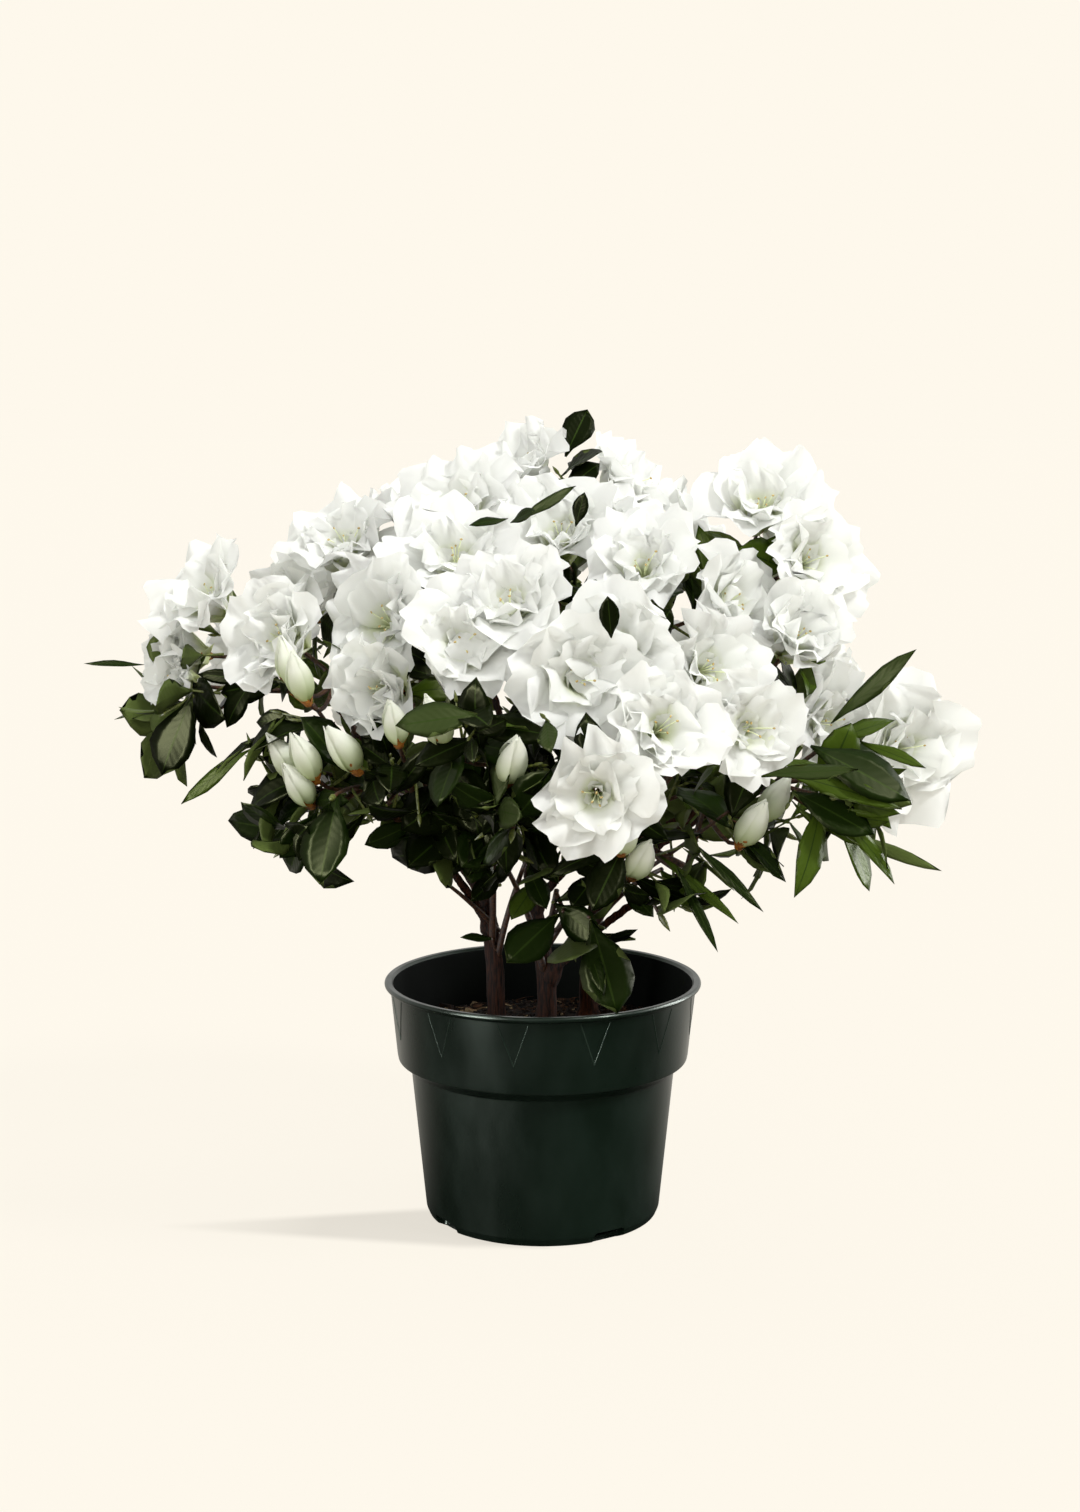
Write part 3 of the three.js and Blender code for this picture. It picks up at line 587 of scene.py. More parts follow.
def makeSoil():
    pick()
    piece = raiseProfile("pottingSoil", soil["sides"], soil["foot"], soil["profile"])
    edgeRadius = soil["profile"][-1][0]
    step = edgeRadius * metres / (soil["rings"] + 1)
    for _ in range(soil["rings"]):
        bpy.ops.mesh.inset(thickness=step)
    closeUp()
    for vertex in piece.data.vertices:
        x, y, z = vertex.co / metres
        if z > soil["profile"][-1][1] - 0.5:
            vertex.co.z = groundHeight(x, y) * metres
    piece.data.materials.append(peat)
    bpy.ops.object.shade_smooth()
    finishPiece(piece, ["soil"])


# Loose crumbs, bark chips and fibres on the soil.
def makeCrumbs():
    chance = seededChance(seeds["crumbs"])
    heap = newHeap()
    corners = np.array([[x, y, z] for z in (-1, 1) for y in (-1, 1) for x in (-1, 1)], float)
    sides = np.array([[0, 2, 3, 1], [4, 5, 7, 6], [0, 1, 5, 4], [2, 6, 7, 3], [0, 4, 6, 2], [1, 3, 7, 5]])
    edge = soil["profile"][-1][0]
    largeShare, largeSize = soil["large"]

    def somewhere():
        reach, turn = edge * math.sqrt(chance()) - 1.5, between(chance, 0, 2 * math.pi)
        x, y = max(reach, 0) * math.cos(turn), max(reach, 0) * math.sin(turn)
        return x, y, groundHeight(x, y)

    for _ in range(soil["crumbs"]):
        size = between(chance, *soil["crumbSize"])
        size *= largeSize if chance() < largeShare else 1
        stretch = np.array([between(chance, *reach) for reach in soil["crumbStretch"]])
        skew = np.array([between(chance, -soil["skew"], soil["skew"]) for _ in range(24)]).reshape(8, 3)
        turn = Vector([between(chance, -1, 1) for _ in range(3)]).to_track_quat("Z", "Y").to_matrix()
        points = ((corners + skew) * stretch * size) @ np.array(turn).T + np.array(somewhere())
        heapUp(heap, points, sides, int(np.searchsorted(soil["kinds"], chance(), "right")))
    for _ in range(soil["slivers"]):
        start = Vector(somewhere()) + Vector((0, 0, 0.6))
        length, turn = between(chance, *soil["sliverLength"]), between(chance, 0, 2 * math.pi)
        end = start + Vector((math.cos(turn), math.sin(turn), between(chance, -0.05, 0.16))) * length
        if math.hypot(end.x, end.y) < edge - 1:
            bend = (start + end) / 2 + Vector((0, 0, between(chance, 0, 1.4)))
            heapTube(heap, [start, bend, end], soil["sliverRadii"], 4, 1 if chance() < 0.6 else 2)
    makePiece("soilCrumbs", heap, [peat, barkChip, paleFibre])


# Of each stem its path, and its radii at the foot and the top.
stems = {
    "stem_left": ([(-24, -2, 100), (-25, -2, 130), (-29, 0, 165), (-37, 2, 205)], (5.2, 3.4)),
    "stem_middle": ([(1, -7, 100), (2, -6, 125), (-5, -4, 170), (-4, 2, 222)], (5.6, 3.4)),
    "stem_right": ([(24, 17, 100), (25, 16, 135), (30, 15, 172), (41, 13, 212)], (5.2, 3.4)),
}
rootFlare = {"widening": 0.5, "height": 9, "buried": 4}

# Of each bough its stem, how far up that it starts, and its radius there.
boughs = {
    "bough_left_tip": ("stem_left", 0.62, 2.7),
    "bough_left_front": ("stem_left", 0.78, 2.7),
    "bough_left_under": ("stem_left", 0.5, 2.5),
    "bough_upper_left": ("stem_left", 1, 3),
    "bough_back_left": ("stem_left", 0.7, 2.6),
    "bough_mid_left": ("stem_middle", 0.78, 2.7),
    "bough_top_left": ("stem_middle", 1, 3),
    "bough_centre": ("stem_middle", 0.66, 2.8),
    "bough_back": ("stem_middle", 0.72, 2.7),
    "bough_low_right": ("stem_middle", 0.24, 2.5),
    "bough_front_low": ("stem_middle", 0.54, 2.6),
    "bough_right_mid": ("stem_right", 0.86, 2.8),
    "bough_centre_right": ("stem_right", 0.66, 2.7),
    "bough_right_top": ("stem_right", 1, 3),
    "bough_right_side": ("stem_right", 0.56, 2.7),
    "bough_right_tip": ("stem_right", 0.76, 2.7),
    "bough_back_right": ("stem_right", 0.64, 2.7),
}
boughTipRadius = 1.7
boughReach = 0.6
limbSteps = 24
limbBark = {"voxel": 0.85, "sides": 14, "knots": 1.25, "relief": 0.42, "smoothing": 3,
            "strips": ((2.2, 2.2, 14), 1), "flakes": ((3.4, 3.4, 6.8), 0.7)}  # their sizes and shares


# A curve is its points, close together, with the length of the curve up to each.
def measured(points):
    steps = [0.0]
    for one, following in zip(points, points[1:]):
        steps.append(steps[-1] + (following - one).length)
    return {"points": points, "lengths": steps}


def alongCurve(curve, share):
    wanted = share * curve["lengths"][-1]
    step = int(np.searchsorted(curve["lengths"], wanted))
    if step == 0:
        return curve["points"][0].copy()
    step = min(step, len(curve["points"]) - 1)
    before, after = curve["lengths"][step - 1], curve["lengths"][step]
    return curve["points"][step - 1].lerp(curve["points"][step], (wanted - before) / (after - before))


def pathAlong(curve, steps):
    return [alongCurve(curve, k / steps) for k in range(steps + 1)]


# A centripetal Catmull-Rom curve through points, with its ends carried straight on.
def smoothCurve(points, steps=60):
    ends = [2 * points[0] - points[1], *points, 2 * points[-1] - points[-2]]
    curve = [points[0].copy()]
    for k in range(len(points) - 1):
        a, b, c, d = ends[k : k + 4]
        before, here, after = [(q - p).length ** 0.5 for p, q in ((a, b), (b, c), (c, d))]
        leaving = ((b - a) / before - (c - a) / (before + here) + (c - b) / here) * here
        arriving = ((c - b) / here - (d - b) / (here + after) + (d - c) / after) * here
        for step in range(1, steps + 1):
            t = step / steps
            cubic = 2 * b - 2 * c + leaving + arriving
            square = 3 * c - 3 * b - 2 * leaving - arriving
            curve.append(b + leaving * t + square * t * t + cubic * t * t * t)
    return measured(curve)


def bendCurve(start, middle, end, steps=60):
    shares = [step / steps for step in range(steps + 1)]
    return measured([start * (1 - t) ** 2 + middle * 2 * t * (1 - t) + end * t * t for t in shares])


def growStem(path, radii):
    points = [Vector(place) for place in path]
    points[0].z -= rootFlare["buried"]
    curve = smoothCurve(points)
    low, high = radii

    def radiusAt(share):
        height = share * curve["lengths"][-1] - rootFlare["buried"]
        flare = max(0, 1 - height / rootFlare["height"])
        return (low + (high - low) * share) * (1 + rootFlare["widening"] * flare * flare)

    return {"curve": curve, "radiusAt": radiusAt}


# The plane between two masses: its point and the unit vector from the first to the second.
def planeBetween(a, b):
    across = b["at"] - a["at"]
    gap = across.length
    share = min(0.65, max(0.35, 0.5 + (a["reach"] ** 2 - b["reach"] ** 2) / (2 * gap * gap)))
    return a["at"] + across * share, across.normalized()


# A bough rises from its stem and then leans over to its tip, which lies between its masses.
def growBough(name):
    stemName, share, radius = boughs[name]
    start = alongCurve(stemShapes[stemName]["curve"], share)
    carried = [mass for mass in masses if mass["on"] == name]
    middle = sum((mass["at"] for mass in carried), Vector()) / len(carried)
    tip = start.lerp(middle, boughReach)
    if len(carried) > 1:
        point, normal = planeBetween(*carried)
        tip += normal * (point - tip).dot(normal)
    rise = start.lerp(tip, 0.4)
    rise.z += 0.1 * (tip - start).length

    def radiusAt(at):
        return radius + (boughTipRadius - radius) * at

    return {"curve": bendCurve(start, rise, tip), "radiusAt": radiusAt, "ahead": (tip - rise).normalized()}


# Stems and boughs fused into one skin, with knots at the forks and peeling strips of bark.
def makeLimbs():
    heap = newHeap()
    for limb in limbs:
        radii = [limb["radiusAt"](k / limbSteps) for k in range(limbSteps + 1)]
        heapTube(heap, pathAlong(limb["curve"], limbSteps), radii, limbBark["sides"])
    for name, (stemName, share, radius) in boughs.items():
        stem = stemShapes[stemName]
        middle, knot = alongCurve(stem["curve"], share), stem["radiusAt"](share)
        ahead = (alongCurve(boughShapes[name]["curve"], 0.2) - middle).normalized()
        reach = [middle + ahead * knot * k for k in (-0.3, 0.4, 1.1, 2.2)]
        heapTube(heap, reach, [radius, knot * limbBark["knots"], knot, radius * 0.9], limbBark["sides"])
    piece = heapMesh("barkLimbs", heap, np.concatenate(heap["quads"]))
    pick(piece)
    voxels = {"mode": "VOXEL", "voxel_size": limbBark["voxel"] * metres, "use_smooth_shade": True}
    applyModifier(piece, "REMESH", voxels)
    applyModifier(piece, "SMOOTH", {"factor": 0.5, "iterations": limbBark["smoothing"]})
    normals = np.array([vertex.normal[:] for vertex in piece.data.vertices])
    places = np.array([vertex.co[:] for vertex in piece.data.vertices]) / metres
    rough = 0
    for size, share in (limbBark["strips"], limbBark["flakes"]):
        rough += share * np.array([noise.noise(place) for place in places / size])
    places += normals * (rough * limbBark["relief"])[:, None]
    piece.data.vertices.foreach_set("co", (places * metres).ravel())
    piece.data.update()
    piece.data.materials.append(bark)
    finishPiece(piece, [*stems, *boughs])


# A mass hangs on a bough, or on a stem at a share of its height. at is the middle of its head, turn
# the way its blooms are set out round that, in degrees from +X, and buds and leaf shoots have turns
# of their own. open is how far each bloom has opened, face how it turns from the light, lowest how
# low the leaves may hang, and rounds how often finer twigs are grown.
def newMass(name, on, at, reach, **more):
    return {"name": name, "on": on, "at": Vector(at), "reach": reach, **more}


masses = [
    newMass("left_tip", "bough_left_tip", (-184, -12, 314), 44, blooms=2, turn=5, spread=0.32, size=0.92,
            open=(0.9, 0.42)),
    newMass("left_leaves", "bough_left_tip", (-192, -20, 286), 46, shoots=3, shootTurn=170, blooms=1,
            size=0.6, open=(0.7,)),
    newMass("left_front", "bough_left_front", (-134, -72, 314), 44, blooms=1, buds=2, budTurn=-52,
            budShift=42, size=1.08, shoots=1, shootTurn=-120, open=(0.9,)),
    newMass("left_top", "bough_upper_left", (-122, 16, 338), 46, blooms=2, turn=0, face=(0.1, -0.35, 0)),
    newMass("left_under", "bough_left_under", (-120, -100, 248), 42, rounds=3, buds=3, budTurn=40,
            budShift=8, shoots=4, shootTurn=-100),
    newMass("left_buds", "bough_left_under", (-84, -112, 264), 36, rounds=3, buds=2, budSpread=16,
            budShift=6, budTurn=30, shoots=2, shootTurn=-80),
    newMass("upper_left", "bough_upper_left", (-86, 62, 358), 46, blooms=2, turn=5, open=(0.8, 0.95)),
    newMass("mid_left", "bough_mid_left", (-62, -58, 336), 46, rounds=2, blooms=2, turn=38),
    newMass("centre_left", "bough_mid_left", (-60, -112, 303), 46, rounds=2, blooms=2, turn=18,
            open=(1, 0.5)),
    newMass("top_left", "bough_top_left", (-34, 24, 376), 44, rounds=2, blooms=2, turn=60),
    newMass("top", "bough_top_left", (16, 62, 388), 44, blooms=2, turn=5, spread=0.5, shoots=1,
            shootTurn=-80, shootOut=12),
    newMass("top_middle", "bough_right_mid", (30, 0, 364), 44, rounds=2, blooms=2, turn=35, open=(0.8, 1)),
    newMass("right_mid", "bough_right_mid", (73, -54, 338), 46, rounds=2, blooms=2, turn=2),
    newMass("right_top", "bough_right_top", (127, 0, 357), 52, blooms=3, turn=180, spread=0.38, size=1.05,
            face=(-0.2, -0.4, 0)),
    newMass("centre", "bough_centre", (0, -118, 314), 48, rounds=2, blooms=2, turn=-48, size=1.04),
    newMass("front_leaves", "bough_centre", (-14, -148, 262), 40, rounds=3, buds=2, budTurn=157,
            budShift=18, budSpread=18, shoots=3, shootTurn=20),
    newMass("centre_right", "bough_centre_right", (60, -110, 307), 46, rounds=2, blooms=2, turn=0),
    newMass("front_low", "bough_front_low", (40, -154, 263), 44, blooms=2, turn=42, size=0.92,
            open=(0.85, 1)),
    newMass("front_right", "bough_front_low", (101, -116, 274), 36, blooms=1, shoots=1, shootTurn=-60,
            size=0.85),
    newMass("right_shoulder", "bough_right_side", (138, -42, 288), 46, blooms=2, turn=-35, open=(1, 0.55)),
    newMass("right_leaves", "bough_right_side", (152, -78, 240), 46, shoots=4, shootTurn=10),
    newMass("right_tip", "bough_right_tip", (188, -24, 250), 46, blooms=1, size=1.16, shoots=1,
            shootTurn=-125, shootOut=26, face=(-0.35, -0.8, 0.1)),
    newMass("low_right", "bough_low_right", (50, -92, 202), 42, lowest=178, buds=2, budTurn=120,
            budShift=16, shoots=2, shootTurn=-80),
    newMass("right_under", "bough_low_right", (114, -62, 230), 42, buds=2, budTurn=190, budShift=16,
            shoots=3, shootTurn=-60),
    newMass("low_centre", "stem_left", (-38, -82, 226), 46, rounds=3, share=0.4, lowest=184, shoots=5,
            shootTurn=90),
    newMass("inner_leaves", "stem_middle", (8, -64, 224), 40, rounds=3, share=0.72, shoots=3,
            shootTurn=-60),
    newMass("foot_leaves", "stem_middle", (14, -52, 160), 30, share=0.34, lowest=150, shoots=1,
            shootTurn=-90),
    newMass("back_left", "bough_back_left", (-160, 72, 300), 48, blooms=2, turn=20, shoots=1,
            shootTurn=-90),
    newMass("back_low_left", "bough_back_left", (-78, 142, 270), 50, blooms=2, turn=10, shoots=2,
            shootTurn=-90),
    newMass("back_mid_left", "bough_back", (-92, 112, 328), 48, blooms=2, turn=30),
    newMass("back_top", "bough_back", (-14, 116, 354), 48, blooms=2, turn=0),
    newMass("back_top_right", "bough_back_right", (66, 98, 350), 48, blooms=2, turn=-30),
    newMass("back_low", "bough_back_right", (14, 156, 294), 50, blooms=2, turn=0, shoots=2, shootTurn=-90),
    newMass("back_right", "bough_right_top", (134, 74, 318), 48, blooms=2, turn=-40),
    newMass("back_right_tip", "bough_right_tip", (166, 52, 262), 44, blooms=1, shoots=2, shootTurn=-80),
    newMass("back_low_right", "stem_right", (98, 128, 262), 48, share=0.66, lowest=205, blooms=2, turn=20,
            shoots=2, shootTurn=-90),
    newMass("under_back_left", "stem_left", (-98, 76, 222), 44, share=0.56, lowest=200, shoots=5,
            shootTurn=0),
    newMass("under_back_right", "stem_right", (78, 80, 206), 44, share=0.34, lowest=188, shoots=5,
            shootTurn=0),
]

heart = Vector((0, 10, 245))  # masses face away from it
light = Vector((0, -0.32, 0.14))  # and blooms, buds and shoots turn towards the light
bloom = {"width": 64, "depth": 25, "sizes": (0.94, 1.08), "shift": (-5, 4), "splay": 0.022,
         "frontTurn": (0, -0.3, 0.05), "frontReach": 70}  # blooms up to this y turn further
bud = {"length": 27, "width": 12, "sizes": (0.9, 1.2), "shift": (-5, 5), "splay": 0.03, "rise": 1.7}
shoot = {"jitter": 12, "shift": (-16, -4), "splay": 0.03, "rise": 0.15, "out": 0.46, "outOfBlooms": 0.72}
leaf = {"length": 42, "room": 6.5, "lengths": (0.8, 1.12), "jitter": 14, "tilt": 10, "sag": 0.16}
stalk = {"stemRadius": 2.4, "tipRadius": 1, "sunk": 6, "fork": 12, "forkShare": 0.25}
lowest = 106  # how low a leaf may hang
limbRoom = 4.5  # how near a limb


# Two unit vectors square to a direction: the first as level as it can be, the second above it.
def crossAxes(direction):
    across = (Vector((1, 0, 0)) - direction * direction.x).normalized()
    return across, direction.cross(across)


def turned(across, upward, angle):
    return across * math.cos(angle) + upward * math.sin(angle)


# The leaves set in a ring round a twig's end, with their roots along its last part.
def whorl(fork, end, facing, count, spread, scale, chance):
    across, upward = crossAxes(facing)
    first = between(chance, 0, 360)
    leaves = []
    for k in range(count):
        angle = math.radians(first + 360 * k / count + between(chance, -leaf["jitter"], leaf["jitter"]))
        pitch = math.radians(spread + between(chance, -leaf["tilt"], leaf["tilt"]))
        length = leaf["length"] * scale * between(chance, *leaf["lengths"])
        radial = turned(across, upward, angle)
        along = facing * math.cos(pitch) + radial * math.sin(pitch)
        normal = facing * math.sin(pitch) - radial * math.cos(pitch)
        root = end.lerp(fork, 0.12 + 0.2 * k / count) + radial * 0.5 * stalk["tipRadius"]
        leaves.append({"root": root, "along": along, "normal": normal, "length": length})
    return leaves


# Everything one mass grows, as places and directions.
def growMass(mass, foot, seed):
    chance = seededChance(seed)
    at = mass["at"]
    outward = (at - heart).normalized()
    across, upward = crossAxes(outward)
    size = mass.get("size", 1)

    def around(degrees, distance):
        return turned(across, upward, math.radians(degrees)) * distance

    fork = (at - outward * (bloom["depth"] + stalk["fork"])).lerp(foot, stalk["forkShare"])
    grown = {key: [] for key in ("blooms", "buds", "leaves", "twigs", "sideTwigs")}
    grown.update(foot=foot, fork=fork)

    def addTwig(place, facing, isBare=False):
        end = place + facing * stalk["sunk"]
        grown["twigs"].append({"end": end, "facing": facing, "isBare": isBare})
        return end

    def addLeaves(*whorlOf):
        grown["leaves"] += [{**one, "twig": len(grown["twigs"]) - 1} for one in whorl(fork, *whorlOf)]

    bloomCount = mass.get("blooms", 0)
    bloomSpread = mass.get("spread", 0.42) * bloom["width"] * size if bloomCount > 1 else 0
    for k in range(bloomCount):
        offset = around(mass.get("turn", 0) + 360 * k / bloomCount, bloomSpread)
        facing = (outward + light + offset * bloom["splay"]).normalized()
        place = at + offset + outward * between(chance, *bloom["shift"])
        width = size * between(chance, *bloom["sizes"])
        roll = between(chance, 0, 72)
        opened = mass.get("open", (1, 1, 1))[k]
        face = mass.get("face", bloom["frontTurn"] if at.y < bloom["frontReach"] else (0, 0, 0))
        aimed = (facing + Vector(face)).normalized()
        grown["blooms"].append({"at": place, "facing": aimed, "size": width, "roll": roll, "open": opened})
        end = addTwig(place - aimed * bloom["depth"] * width, aimed)
        addLeaves(end, facing, 5, 86, 1, chance)

    budCount = mass.get("buds", 0)
    budTurn = mass.get("budTurn", 20)
    budMiddle = at + around(budTurn, mass.get("budShift", 0))
    for k in range(budCount):
        offset = around(budTurn + 360 * k / budCount, mass.get("budSpread", 9))
        facing = (outward + light + offset * bud["splay"] + Vector((0, 0, bud["rise"]))).normalized()
        place = budMiddle + offset + facing * between(chance, *bud["shift"])
        width = between(chance, *bud["sizes"])
        grown["buds"].append({"at": place, "facing": facing, "size": width})
        end = addTwig(place - facing * 0.5 * bud["length"] * width, facing)
        if k == 0:
            addLeaves(end, facing, 6, 84, 1, chance)

    shootCount = mass.get("shoots", 0)
    for k in range(shootCount):
        step = 360 * k / shootCount if shootCount > 2 else 50 * k
        turn = mass["shootTurn"] + step + between(chance, -shoot["jitter"], shoot["jitter"])
        share = shoot["outOfBlooms"] if bloomCount or budCount else shoot["out"]
        offset = around(turn, mass.get("shootOut", mass["reach"] * share))
        facing = (outward + offset * shoot["splay"] + Vector((0, 0, shoot["rise"]))).normalized()
        end = addTwig(at + offset + outward * between(chance, *shoot["shift"]), facing, True)
        addLeaves(end, facing, 6, 64, 1.1, chance)
        addLeaves(end, facing, 1, 20, 0.95, chance)
    return grown


# Where a mass's stem begins: just clear of its bough's tip, or of the side of its stem.
def footOf(mass):
    at = mass["at"]
    if mass["on"] in stemShapes:
        stem = stemShapes[mass["on"]]
        start = alongCurve(stem["curve"], mass["share"])
        return start + (at - start).normalized() * stem["radiusAt"](mass["share"]) * 0.5
    bough = boughShapes[mass["on"]]
    tip, ahead = bough["curve"]["points"][-1], bough["ahead"]
    sideways = at - tip
    sideways = (sideways - ahead * sideways.dot(ahead)).normalized()
    isShared = sum(other["on"] == mass["on"] for other in masses) > 1
    return tip + ahead * clearance + sideways * (stalk["stemRadius"] * 1.15 if isShared else 0)


stemShapes = {name: growStem(*stem) for name, stem in stems.items()}
boughShapes = {name: growBough(name) for name in boughs}
limbs = [*stemShapes.values(), *boughShapes.values()]
limbPoints = [point for limb in limbs for point in pathAlong(limb["curve"], limbSteps)]


# Finer twigs and leaves, which the solids leave out.
finer = {
    "ahead": 0.75,  # how far a side twig leans along its twig
    "twigShares": (0.42, 0.74),  # where side twigs leave a twig
    "stemShares": (0.3, 0.55, 0.8),  # and the mass's stem
    "length": (12, 24),
    "leaves": 5,
    "spread": 62,
    "scale": (0.6, 0.95),
    "beyond": 6,  # how far the tips of its leaves may stand out of the mass's reach
}


def growFiner(grown, chance):
    runs = [(grown["fork"], twig["end"], share) for twig in grown["twigs"] for share in finer["twigShares"]]
    runs += [(grown["foot"], grown["fork"], share) for share in finer["stemShares"]]
    for start, end, share in runs:
        ahead = (end - start).normalized()
        across, upward = crossAxes(ahead)
        turn = between(chance, 0, 2 * math.pi)
        facing = (ahead * finer["ahead"] + across * math.cos(turn) + upward * math.sin(turn)).normalized()
        foot = start.lerp(end, share)
        tip = foot + facing * between(chance, *finer["length"])
        grown["sideTwigs"].append({"foot": foot, "end": tip, "facing": facing})
        scale = between(chance, *finer["scale"])
        leaves = whorl(foot, tip, facing, finer["leaves"], finer["spread"], scale, chance)
        leaves += whorl(foot, tip, facing, 1, 18, scale * 0.8, chance)
        grown["leaves"] += [{**one, "side": len(grown["sideTwigs"]) - 1} for one in leaves]


def neighbourPlanes(mass):
    at = mass["at"]
    others = [other for other in masses if other is not mass and (other["at"] - at).length < 190]
    return [planeBetween(mass, other) for other in others]


# Whether a point is inside a bloom or closer than a leaf's width in front of its back.
def isInBloom(one, point):
    fromStalk = point - one["at"] + one["facing"] * bloom["depth"] * one["size"]
    height = fromStalk.dot(one["facing"])
    radius = (fromStalk - one["facing"] * height).length
    reach = 0.5 * bloom["width"] * one["size"]
    return radius < reach and height > 0.8 * bloom["depth"] * radius / reach / one["size"] - 1


# Whether a leaf here would hang in front of a bud.
def hidesBud(place, point):
    aside, above = abs(point.x - place.x), abs(point.z - place.z)
    return aside < bud["width"] and above < 0.6 * bud["length"] and point.y < place.y


# Leaves are kept in turn where they stay in the mass's space, clear of limbs, blooms and each other.
def keptLeaves(mass, grown):
    planes = neighbourPlanes(mass)
    tips = [one["at"] for other in growths for one in other["buds"]]
    nearLimbs = [point for point in limbPoints if (point - mass["at"]).length < 110]
    kept = []
    for one in grown["leaves"]:
        root, along, length = one["root"], one["along"], one["length"]
        sag = one["normal"] * -leaf["sag"] * length
        middles = [root + along * 0.35 * length, root + along * 0.85 * length + sag * 0.7]
        tip = root + along * length + sag
        side = one["normal"].cross(along) * 0.2 * length
        edges = [tip, root + along * 0.5 * length + side, root + along * 0.5 * length - side]
        if any((a - b).length < leaf["room"] for other in kept for a, b in zip(middles, other["middles"])):
            continue
        if any(isInBloom(flower, point) for flower in grown["blooms"] for point in [*middles, *edges[1:]]):
            continue
        if any((point - place).dot(normal) > -clearance for place, normal in planes for point in edges):
            continue
        if any(hidesBud(place, point) for place in tips for point in middles):
            continue
        if "side" in one and (tip - mass["at"]).length > mass["reach"] + finer["beyond"]:
            continue
        if tip.z < mass.get("lowest", lowest):
            continue
        if any((point - other).length < limbRoom for other in nearLimbs for point in edges):
            continue
        kept.append({**one, "middles": middles})
    return kept


growths = []
for index, mass in enumerate(masses):
    growths.append(growMass(mass, footOf(mass), index + 1))
    finerChance = seededChance(seeds["finer"] + index)
    for _ in range(mass.get("rounds", 1)):
        growFiner(growths[-1], finerChance)
for grown, mass in zip(growths, masses):
    grown["leaves"] = keptLeaves(mass, grown)
print("grown:", sum(len(grown["leaves"]) for grown in growths), "leaves")


# Bare shoots between the stems: their points and their radii at both ends.
footShoots = [
    (((-24, -2, 135), (-18, -14, 167), (-8, -26, 194)), (1.9, 1.1)),
    (((1, -8, 128), (-5, -18, 163), (-19, -30, 191)), (2.1, 1.2)),
    (((1, -8, 142), (16, -16, 168), (29, -32, 191)), (2, 1.1)),
    (((-23, -2, 151), (-37, -20, 171), (-50, -36, 184)), (1.6, 0.9)),
    (((24, 13, 145), (36, -10, 174), (59, -50, 193)), (2, 1.2)),
    (((36, -10, 174), (60, -44, 196), (90, -72, 226)), (1.4, 0.8)),
    (((2, -8, 158), (12, -28, 172), (10, -48, 171)), (1.2, 0.8)),
    (((3, -8, 150), (20, -34, 170), (23, -52, 169)), (1.2, 0.8)),
    (((-24, -4, 140), (-26, -8, 146), (-26, -9, 149)), (0.9, 0.6)),
]

# Twigs: each leaves its mass's stem and bends towards what it carries. This year's are green.
twigWood = {"stem": (1.9, 1.5), "twig": (1.3, 0.95), "side": (0.85, 0.55), "bud": (7, 1.3), "bend": 0.42,
            "shootBud": 1.3, "sideBud": 0.8}


def makeTwigs():
    heap = newHeap()

    def addRun(start, end, facing, radii, slot, steps=6):
        middle = end - facing * twigWood["bend"] * (end - start).length
        spread = [radii[0] + (radii[1] - radii[0]) * k / steps for k in range(steps + 1)]
        heapTube(heap, pathAlong(bendCurve(start, middle, end, 12), steps), spread, 6, slot)

    def addTipBud(end, facing, size):
        length, width = twigWood["bud"]
        path = [end + facing * length * size * share for share in (-0.2, 0.15, 0.55, 1)]
        heapTube(heap, path, [0.5 * size, width * size, width * size * 0.8, 0.12], 6, 1)

    for path, radii in footShoots:
        curve = bendCurve(*(Vector(place) for place in path), 12)
        heapTube(heap, pathAlong(curve, 8), np.linspace(*radii, 9), 8)
    for grown in growths:
        ahead = (grown["fork"] - grown["foot"]).normalized()
        leafy = {one.get("twig") for one in grown["leaves"]}
        leafySides = {one.get("side") for one in grown["leaves"]}
        addRun(grown["foot"] - ahead * 3, grown["fork"], ahead, twigWood["stem"], 0)
        for index, twig in enumerate(grown["twigs"]):
            if index in leafy or not twig["isBare"]:
                addRun(grown["fork"] - ahead * 1.5, twig["end"], twig["facing"], twigWood["twig"], 0)
            if index in leafy and twig["isBare"]:
                addTipBud(twig["end"], twig["facing"], twigWood["shootBud"])
        for index, twig in enumerate(grown["sideTwigs"]):
            if index in leafySides:
                addRun(twig["foot"], twig["end"], twig["facing"], twigWood["side"], 1, 4)
                addTipBud(twig["end"], twig["facing"], twigWood["sideBud"])
    makePiece("twigs", heap, [brownTwig, greenTwig])


# Leaves: an outline from root to tip, closed thin, with a pale midrib and underside.
bladeShape = {
    "columns": (-1, -0.55, -0.05, 0.05, 0.55, 1),
    "rows": 6,
    "petiole": 0.09,
    "thickness": 0.4,
    # of each kind: width over length, where it is widest, and its length over the whorl's
    "kinds": {"broad": (0.56, 1.2, 0.94), "oval": (0.44, 1.08, 1), "narrow": (0.27, 1, 1.1),
              "lance": (0.18, 1, 1.2), "grass": (0.12, 0.9, 1.35)},
    "leftTones": (0.74, 0.95, 0.97, 1),  # shares of dark, middling, fresh and grey blades, added up; mostly dark on the left as painted shade
    # on the right, fewer dark and more fresh blades, as painted light from the key
    "rightTones": (0.16, 0.46, 0.84, 1),
    "leftMix": {"broad": 0.42, "oval": 0.8, "narrow": 1},
    "rightMix": {"broad": 0.26, "oval": 0.54, "narrow": 0.82, "lance": 0.95, "grass": 1},
    "perTone": 5,  # leaves of one whorl share their tone
    "freshShare": 0.05,  # but for a few fresh ones
    "rightFrom": 90,  # masses beyond this x have the leaves of the right side, lighter as painted light
    "sag": (0.04, 0.36),
    "fold": (0.02, 0.34),
    "wave": (0.0, 0.035),
    "waves": 9,
    "twist": 0.5,
    "rib": 0.35,  # how far the midrib stands out below
    "placedNormal": (0, -0.8, 0.6),
    "placedLimp": 0.4,
}


